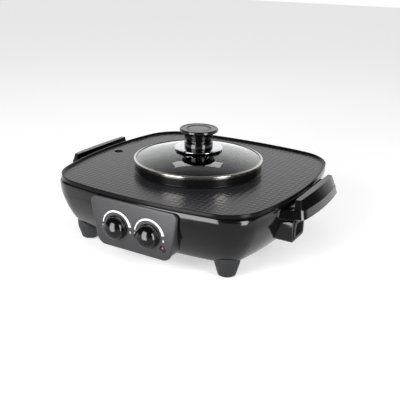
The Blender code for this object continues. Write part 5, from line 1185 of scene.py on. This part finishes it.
def make_lid():
    """The domed glass with its rolled rim and its vent eyelet."""
    radii = [GLASS_BORE_RADIUS + (GLASS_EDGE_RADIUS - GLASS_BORE_RADIUS) * step / DOME_STEPS
             for step in range(DOME_STEPS + 1)]
    under = [(radius, dome_z(radius) - GLASS_THICKNESS) for radius in radii]
    over = [(radius, dome_z(radius)) for radius in radii]
    vent = leaned_on_glass(rod(VENT_RADIUS + 2 * SEAT_GAP, -OVERRUN, OVERRUN))
    add_piece("lid_dome", turned(under + over[::-1] + under[:1]), "bent_tempered_glass", "lid",
              ("lid_glass",), cuts(vent))
    inner = LID_RADIUS - LID_RIM_WIDTH
    wall = LID_RIM_WALL
    outer = LID_RADIUS - wall
    low, top = RIM_LOW.z, GLASS_EDGE_Z + GLASS_THICKNESS + SEAT_GAP
    clear = dome_z(inner) + SEAT_GAP
    profile = [(inner, low), (outer, low)] + arc(outer, low + wall, wall, -90.0, 0.0, EDGE_STEPS)
    profile += arc(outer, top, wall, 0.0, LID_RIM_ROLL_DEG, EDGE_STEPS)
    profile += [(inner, clear + wall), (inner, clear), (outer, top), (outer, low + wall),
                (inner, low + wall), (inner, low)]
    add_piece("lid_band", turned(profile), "rolled_stainless_steel", "lid", ("lid_rim",))
    over = GLASS_THICKNESS / 2 + SEAT_GAP
    under = -GLASS_THICKNESS / 2 - VENT_PROUD
    reach = VENT_RADIUS + VENT_FLANGE
    eyelet = [(VENT_BORE_RADIUS, under), (VENT_RADIUS, under), (VENT_RADIUS, over), (reach, over)]
    eyelet += arc(reach - VENT_PROUD / 2, over + VENT_PROUD / 2, VENT_PROUD / 2, 0.0, 90.0, EDGE_STEPS)
    eyelet += [(VENT_BORE_RADIUS, over + VENT_PROUD), (VENT_BORE_RADIUS, under)]
    add_piece("vent_eyelet", leaned_on_glass(turned(eyelet, BORE_STEPS)), "rolled_stainless_steel", "lid",
              ("lid_vent_grommet",))


def make_lid_knob():
    """The plated disc, the waisted knob with its broad cap, and the inlay in the cap."""
    fall = dome_z(0.0) - dome_z(DISC_RADIUS)
    centre = GLASS_TOP_Z + SEAT_GAP
    edge = centre + DISC_CUP - fall
    bend = DISC_THICKNESS / 2
    disc = [(LID_BORE_RADIUS, centre), (KNOB_BASE_RADIUS, centre), (DISC_RADIUS - bend, edge)]
    disc += arc(DISC_RADIUS - bend, edge + bend, bend, *DISC_EDGE_DEG, EDGE_STEPS)
    disc += [(KNOB_BASE_RADIUS, centre + DISC_THICKNESS), (LID_BORE_RADIUS, centre + DISC_THICKNESS),
             (LID_BORE_RADIUS, centre)]
    add_piece("knob_disc", turned(disc), "chrome_plated_steel", "lid", ("lid_knob_disc",),
              smooth_deg=DISC_SMOOTH_DEG)
    base, top = LID_KNOB_LOW.z, LID_KNOB_HIGH.z
    recess = INLAY_RADIUS + SEAT_GAP
    profile = [(0.0, base + LID_BORE_DEPTH), (LID_BORE_RADIUS, base + LID_BORE_DEPTH),
               (LID_BORE_RADIUS, base), (KNOB_BASE_RADIUS - KNOB_TOE, base)]
    profile += [(radius, base + (top - base) * share) for radius, share in KNOB_SIDE]
    profile += arc(CAP_RADIUS - CAP_ROUND, top - CAP_ROUND, CAP_ROUND, 0.0, 90.0)
    face = top - CAP_LIP
    profile += [(CAP_RADIUS - CAP_ROUND - CAP_LIP, top), (CAP_RADIUS - CAP_ROUND - 2 * CAP_LIP, face),
                (recess + FLAT_EDGE, face), (recess, face - FLAT_EDGE), (recess, face - INLAY_RECESS),
                (0.0, face - INLAY_RECESS)]
    add_piece("knob_body", turned(profile), "moulded_phenolic", "lid", ("lid_knob",))
    floor, crown = face - INLAY_RECESS + SEAT_GAP, face - SEAT_GAP
    ring = INLAY_RADIUS - RING_INSET
    edge = INLAY_RADIUS - INLAY_GROOVE
    inlay = [(0.0, floor), (edge, floor), (edge, crown - INLAY_EDGE), (edge - INLAY_EDGE, crown),
             (ring + RING_WIDTH + RING_SLOPE, crown), (ring + RING_WIDTH, crown - RING_DEPTH),
             (ring, crown - RING_DEPTH), (ring - RING_SLOPE, crown - INLAY_DISH), (0.0, crown - INLAY_DISH)]
    add_piece("knob_inlay", turned(inlay), "moulded_melamine", "lid",
              ("lid_knob_inlay",))


# Nodes that keep their own shape

KEPT_FINISHES = {
    "rolled_stainless_steel": ("pot_element_clamp", "pot_clamp_screw", "shaft_pot", "shaft_grill",
                               "lid_screw", "grill_element", "pot_element", "housing_screw_left",
                               "housing_screw_right")
    + tuple(f"{kind}_screw_{corner}" for kind in ("tie", "handle") for corner in CORNERS),
    "hot_dip_aluminised_steel": ("heat_reflector", "drain_spout"),
    "grained_moulded_abs": ("base_cover",),
    "moulded_phenolic": ("terminal_block", "thermostat_pot", "thermostat_grill"),
    "moulded_nylon": ("pilot_lamp",),
    "moulded_rubber": ("lid_washer",) + tuple("foot_pad_" + corner for corner in CORNERS),
    "woven_fibre_sleeve": ("wire_line", "wire_neutral", "wire_earth"),
}


def make_kept():
    """Finishes for the nodes whose own shape is fine; the inlet's pins keep the CAD's material too."""
    for title, names in KEPT_FINISHES.items():
        for name in names:
            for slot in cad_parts[name].material_slots:
                slot.material = finish(title)


# Stage

def direction(azimuth_deg, elevation_deg):
    """A unit vector; azimuth 0 looks from the front, and it grows towards +X."""
    azimuth, elevation = math.radians(azimuth_deg), math.radians(elevation_deg)
    return Vector((math.sin(azimuth) * math.cos(elevation), -math.cos(azimuth) * math.cos(elevation),
                   math.sin(elevation)))


def add_lamp(name, azimuth_deg, low_deg, high_deg, width_deg, distance, radiance):
    """A rectangular lamp that faces the object; its edges are angles as they are seen from the object."""
    lamp = bpy.data.lights.new(name, "AREA")
    lamp.shape = "RECTANGLE"
    width, height = [2 * distance * math.tan(math.radians(angle) / 2)
                     for angle in (width_deg, high_deg - low_deg)]
    lamp.size, lamp.size_y = width, height
    lamp.energy = radiance * math.pi * width * height
    holder = new_object(name, lamp)
    holder.visible_transmission = False
    away = direction(azimuth_deg, (low_deg + high_deg) / 2)
    place = Vector((0.0, CENTRE_Y, LAMP_AIM_Z)) + away * distance
    holder.matrix_world = Matrix.Translation(place) @ away.to_track_quat("Z", "Y").to_matrix().to_4x4()


def mixed(tree, share, first, second):
    """Two shaders mixed by a share."""
    return add_node(tree, "ShaderNodeMixShader", {0: share, 1: first, 2: second}).outputs["Shader"]


def away_from_camera(tree, way):
    """How far a direction, or a place as a share of the table, lies to the back of the set."""
    return add_node(tree, "ShaderNodeVectorMath", {0: way, 1: tuple(-direction(CAMERA_AZIMUTH_DEG, 0.0))},
                    operation="DOT_PRODUCT").outputs["Value"]


def ground_seen_in_gloss(tree, behind):
    """The floor's brightness in reflections: it is darker in front of the object than behind it."""
    return ranged(tree, behind, GROUND_BACK, GROUND_LIGHT, "SMOOTHSTEP")


def make_world():
    """White to the camera; gloss and glass see a pale backdrop behind the object and a dark room in front."""
    world = bpy.data.worlds.new("studio")
    bpy.context.scene.world = world
    world.use_nodes = True
    tree = world.node_tree
    tree.nodes.clear()
    point = add_node(tree, "ShaderNodeTexCoord").outputs["Generated"]
    height = add_node(tree, "ShaderNodeSeparateXYZ", {"Vector": point}).outputs["Z"]
    behind = away_from_camera(tree, point)
    back = ranged(tree, behind, BACKDROP_BACK, (0.0, 1.0), "SMOOTHSTEP")
    fade = ranged(tree, height, BACKDROP_HEIGHT, BACKDROP_LIGHT)
    upper = maths(tree, "MULTIPLY_ADD", back, fade, ROOM_LIGHT)
    below = maths(tree, "LESS_THAN", height, 0.0)
    room = add_node(tree, "ShaderNodeMix", {"Factor": below, 2: upper, 3: ground_seen_in_gloss(tree, behind)})
    gloss, soft, plain = [add_node(tree, "ShaderNodeBackground", {"Color": colour}).outputs["Background"]
                          for colour in (room.outputs["Result"], SOFT_LIGHT, WHITE)]
    paths = add_node(tree, "ShaderNodeLightPath").outputs
    clear = maths(tree, "MAXIMUM", paths["Is Glossy Ray"], paths["Is Transmission Ray"])
    total = mixed(tree, paths["Is Camera Ray"], mixed(tree, clear, soft, gloss), plain)
    add_node(tree, "ShaderNodeOutputWorld", {"Surface": total})


def make_floor():
    """A white floor that shows the object's shadow, and that glossy rays see as a table of a limited size."""
    material = bpy.data.materials.new("painted_floor")
    material.use_nodes = True
    tree = material.node_tree
    tree.nodes.clear()
    paths = add_node(tree, "ShaderNodeLightPath").outputs
    point = object_point(tree)
    place = add_node(tree, "ShaderNodeVectorMath", {0: point, "Scale": 1.0 / TABLE_RADIUS}, operation="SCALE")
    ground = ground_seen_in_gloss(tree, away_from_camera(tree, place.outputs["Vector"]))
    gloss = add_node(tree, "ShaderNodeEmission", {"Strength": ground}).outputs["Emission"]
    clear = add_node(tree, "ShaderNodeBsdfTransparent").outputs["BSDF"]
    distance = add_node(tree, "ShaderNodeVectorMath", {0: point}, operation="LENGTH").outputs["Value"]
    far = maths(tree, "GREATER_THAN", distance, TABLE_RADIUS)
    paint = add_node(tree, "ShaderNodeBsdfDiffuse", {"Color": FLOOR_PAINT}).outputs["BSDF"]
    lift = maths(tree, "MULTIPLY", paths["Is Camera Ray"], FLOOR_LIFT)
    glow = add_node(tree, "ShaderNodeEmission", {"Strength": lift}).outputs["Emission"]
    white = add_node(tree, "ShaderNodeAddShader", {0: paint, 1: glow}).outputs["Shader"]
    surface = mixed(tree, paths["Is Glossy Ray"], white, mixed(tree, far, gloss, clear))
    add_node(tree, "ShaderNodeOutputMaterial", {"Surface": surface})
    shape = bmesh.new()
    bmesh.ops.create_grid(shape, x_segments=1, y_segments=1, size=FLOOR_HALF_SIZE)
    mesh = mesh_of("floor", shape)
    mesh.materials.append(material)
    new_object("floor", mesh)


def make_camera():
    """The photograph's camera: it orbits the middle of the lip, then turns a little off it."""
    lens = bpy.data.cameras.new("camera")
    lens.sensor_width = SENSOR_WIDTH_MM
    lens.lens = SENSOR_WIDTH_MM * CAMERA_FOCAL_PIXELS / FRAME_PIXELS
    camera = new_object("camera", lens)
    eye = Vector((0.0, CENTRE_Y, LIP_TOP_Z))
    eye += direction(CAMERA_AZIMUTH_DEG, CAMERA_ELEVATION_DEG) * CAMERA_DISTANCE
    azimuth_deg = CAMERA_AZIMUTH_DEG + CAMERA_YAW_DEG
    back = direction(azimuth_deg, CAMERA_ELEVATION_DEG + CAMERA_PITCH_DEG)
    right = direction(azimuth_deg + 90.0, 0.0)
    up = back.cross(right)
    roll = math.radians(CAMERA_ROLL_DEG)
    side = right * math.cos(roll) - up * math.sin(roll)
    head = right * math.sin(roll) + up * math.cos(roll)
    camera.matrix_world = Matrix.Translation(eye) @ Matrix((side, head, back)).transposed().to_4x4()
    bpy.context.scene.camera = camera


def make_stage():
    """Camera, floor, world and lamps."""
    bpy.context.scene.view_settings.view_transform = "Standard"
    make_camera()
    make_world()
    make_floor()
    for lamp in LAMPS:
        add_lamp(*lamp)


# Operators and the panel that lists them

class COOKER_OT_stage(bpy.types.Operator):
    """Add the camera, the floor, the world and the lamps"""
    bl_idname = "cooker.stage"
    bl_label = "Stage"

    def execute(self, context):
        make_stage()
        return {"FINISHED"}


class COOKER_OT_plate(bpy.types.Operator):
    """Make the cast plate with its collar and pot"""
    bl_idname = "cooker.plate"
    bl_label = "Plate"

    def execute(self, context):
        make_plate()
        return {"FINISHED"}


class COOKER_OT_shell(bpy.types.Operator):
    """Make the glossy shell"""
    bl_idname = "cooker.shell"
    bl_label = "Shell"

    def execute(self, context):
        make_shell()
        return {"FINISHED"}


class COOKER_OT_feet(bpy.types.Operator):
    """Make the four feet"""
    bl_idname = "cooker.feet"
    bl_label = "Feet"

    def execute(self, context):
        make_feet()
        return {"FINISHED"}


class COOKER_OT_handles(bpy.types.Operator):
    """Make the two side handles"""
    bl_idname = "cooker.handles"
    bl_label = "Handles"

    def execute(self, context):
        make_handles()
        return {"FINISHED"}


class COOKER_OT_panel(bpy.types.Operator):
    """Make the control housing and its panel"""
    bl_idname = "cooker.panel"
    bl_label = "Panel"

    def execute(self, context):
        make_panel()
        return {"FINISHED"}


class COOKER_OT_print(bpy.types.Operator):
    """Make the printed scales and numbers"""
    bl_idname = "cooker.scales"
    bl_label = "Printed scales"

    def execute(self, context):
        make_print()
        return {"FINISHED"}


class COOKER_OT_knobs(bpy.types.Operator):
    """Make the two dial knobs"""
    bl_idname = "cooker.knobs"
    bl_label = "Dial knobs"

    def execute(self, context):
        make_knobs()
        return {"FINISHED"}


class COOKER_OT_lamp(bpy.types.Operator):
    """Make the pilot lens and its bezel"""
    bl_idname = "cooker.lamp"
    bl_label = "Pilot lamp"

    def execute(self, context):
        make_lamp()
        return {"FINISHED"}


class COOKER_OT_inlet(bpy.types.Operator):
    """Make the power inlet"""
    bl_idname = "cooker.inlet"
    bl_label = "Power inlet"

    def execute(self, context):
        make_inlet()
        return {"FINISHED"}


class COOKER_OT_cup(bpy.types.Operator):
    """Make the fat cup and its sleeve"""
    bl_idname = "cooker.cup"
    bl_label = "Fat cup"

    def execute(self, context):
        make_cup()
        return {"FINISHED"}


class COOKER_OT_lid(bpy.types.Operator):
    """Make the lid's glass, rim and vent"""
    bl_idname = "cooker.lid"
    bl_label = "Lid"

    def execute(self, context):
        make_lid()
        return {"FINISHED"}


class COOKER_OT_lid_knob(bpy.types.Operator):
    """Make the lid's knob, its disc and its inlay"""
    bl_idname = "cooker.lid_knob"
    bl_label = "Lid knob"

    def execute(self, context):
        make_lid_knob()
        return {"FINISHED"}


class COOKER_OT_kept(bpy.types.Operator):
    """Give the nodes that keep their shape their finishes"""
    bl_idname = "cooker.kept"
    bl_label = "Inner parts"

    def execute(self, context):
        make_kept()
        return {"FINISHED"}


OPERATORS = (COOKER_OT_stage, COOKER_OT_plate, COOKER_OT_shell, COOKER_OT_feet, COOKER_OT_handles,
             COOKER_OT_panel, COOKER_OT_print, COOKER_OT_knobs, COOKER_OT_lamp, COOKER_OT_inlet,
             COOKER_OT_cup, COOKER_OT_lid, COOKER_OT_lid_knob, COOKER_OT_kept)


class COOKER_PT_panel(bpy.types.Panel):
    """Lists the operators, the sizes and the colours"""
    bl_label = "Hot pot and grill"
    bl_space_type = "VIEW_3D"
    bl_region_type = "UI"
    bl_category = "Cooker"

    def draw(self, context):
        """Draw one button for each operator, and the properties."""
        for operator in OPERATORS:
            self.layout.operator(operator.bl_idname)
        for group in (context.scene.cooker_sizes, context.scene.cooker_colours):
            for key in group.bl_rna.properties.keys():
                if key not in {"rna_type", "name"}:
                    self.layout.prop(group, key)


CLASSES = (CookerSizes, CookerColours) + OPERATORS + (COOKER_PT_panel,)


def register():
    """Register the classes and hang the properties on the scene."""
    for item in CLASSES:
        bpy.utils.register_class(item)
    bpy.types.Scene.cooker_sizes = PointerProperty(type=CookerSizes)
    bpy.types.Scene.cooker_colours = PointerProperty(type=CookerColours)


def unregister():
    """Take the properties and the classes away."""
    del bpy.types.Scene.cooker_colours
    del bpy.types.Scene.cooker_sizes
    for item in reversed(CLASSES):
        bpy.utils.unregister_class(item)


def main():
    """Make everything."""
    register()
    bpy.ops.cooker.stage()
    bpy.ops.cooker.plate()
    bpy.ops.cooker.shell()
    bpy.ops.cooker.feet()
    bpy.ops.cooker.handles()
    bpy.ops.cooker.panel()
    bpy.ops.cooker.scales()
    bpy.ops.cooker.knobs()
    bpy.ops.cooker.lamp()
    bpy.ops.cooker.inlet()
    bpy.ops.cooker.cup()
    bpy.ops.cooker.lid()
    bpy.ops.cooker.lid_knob()
    bpy.ops.cooker.kept()


if __name__ == "__main__":
    main()
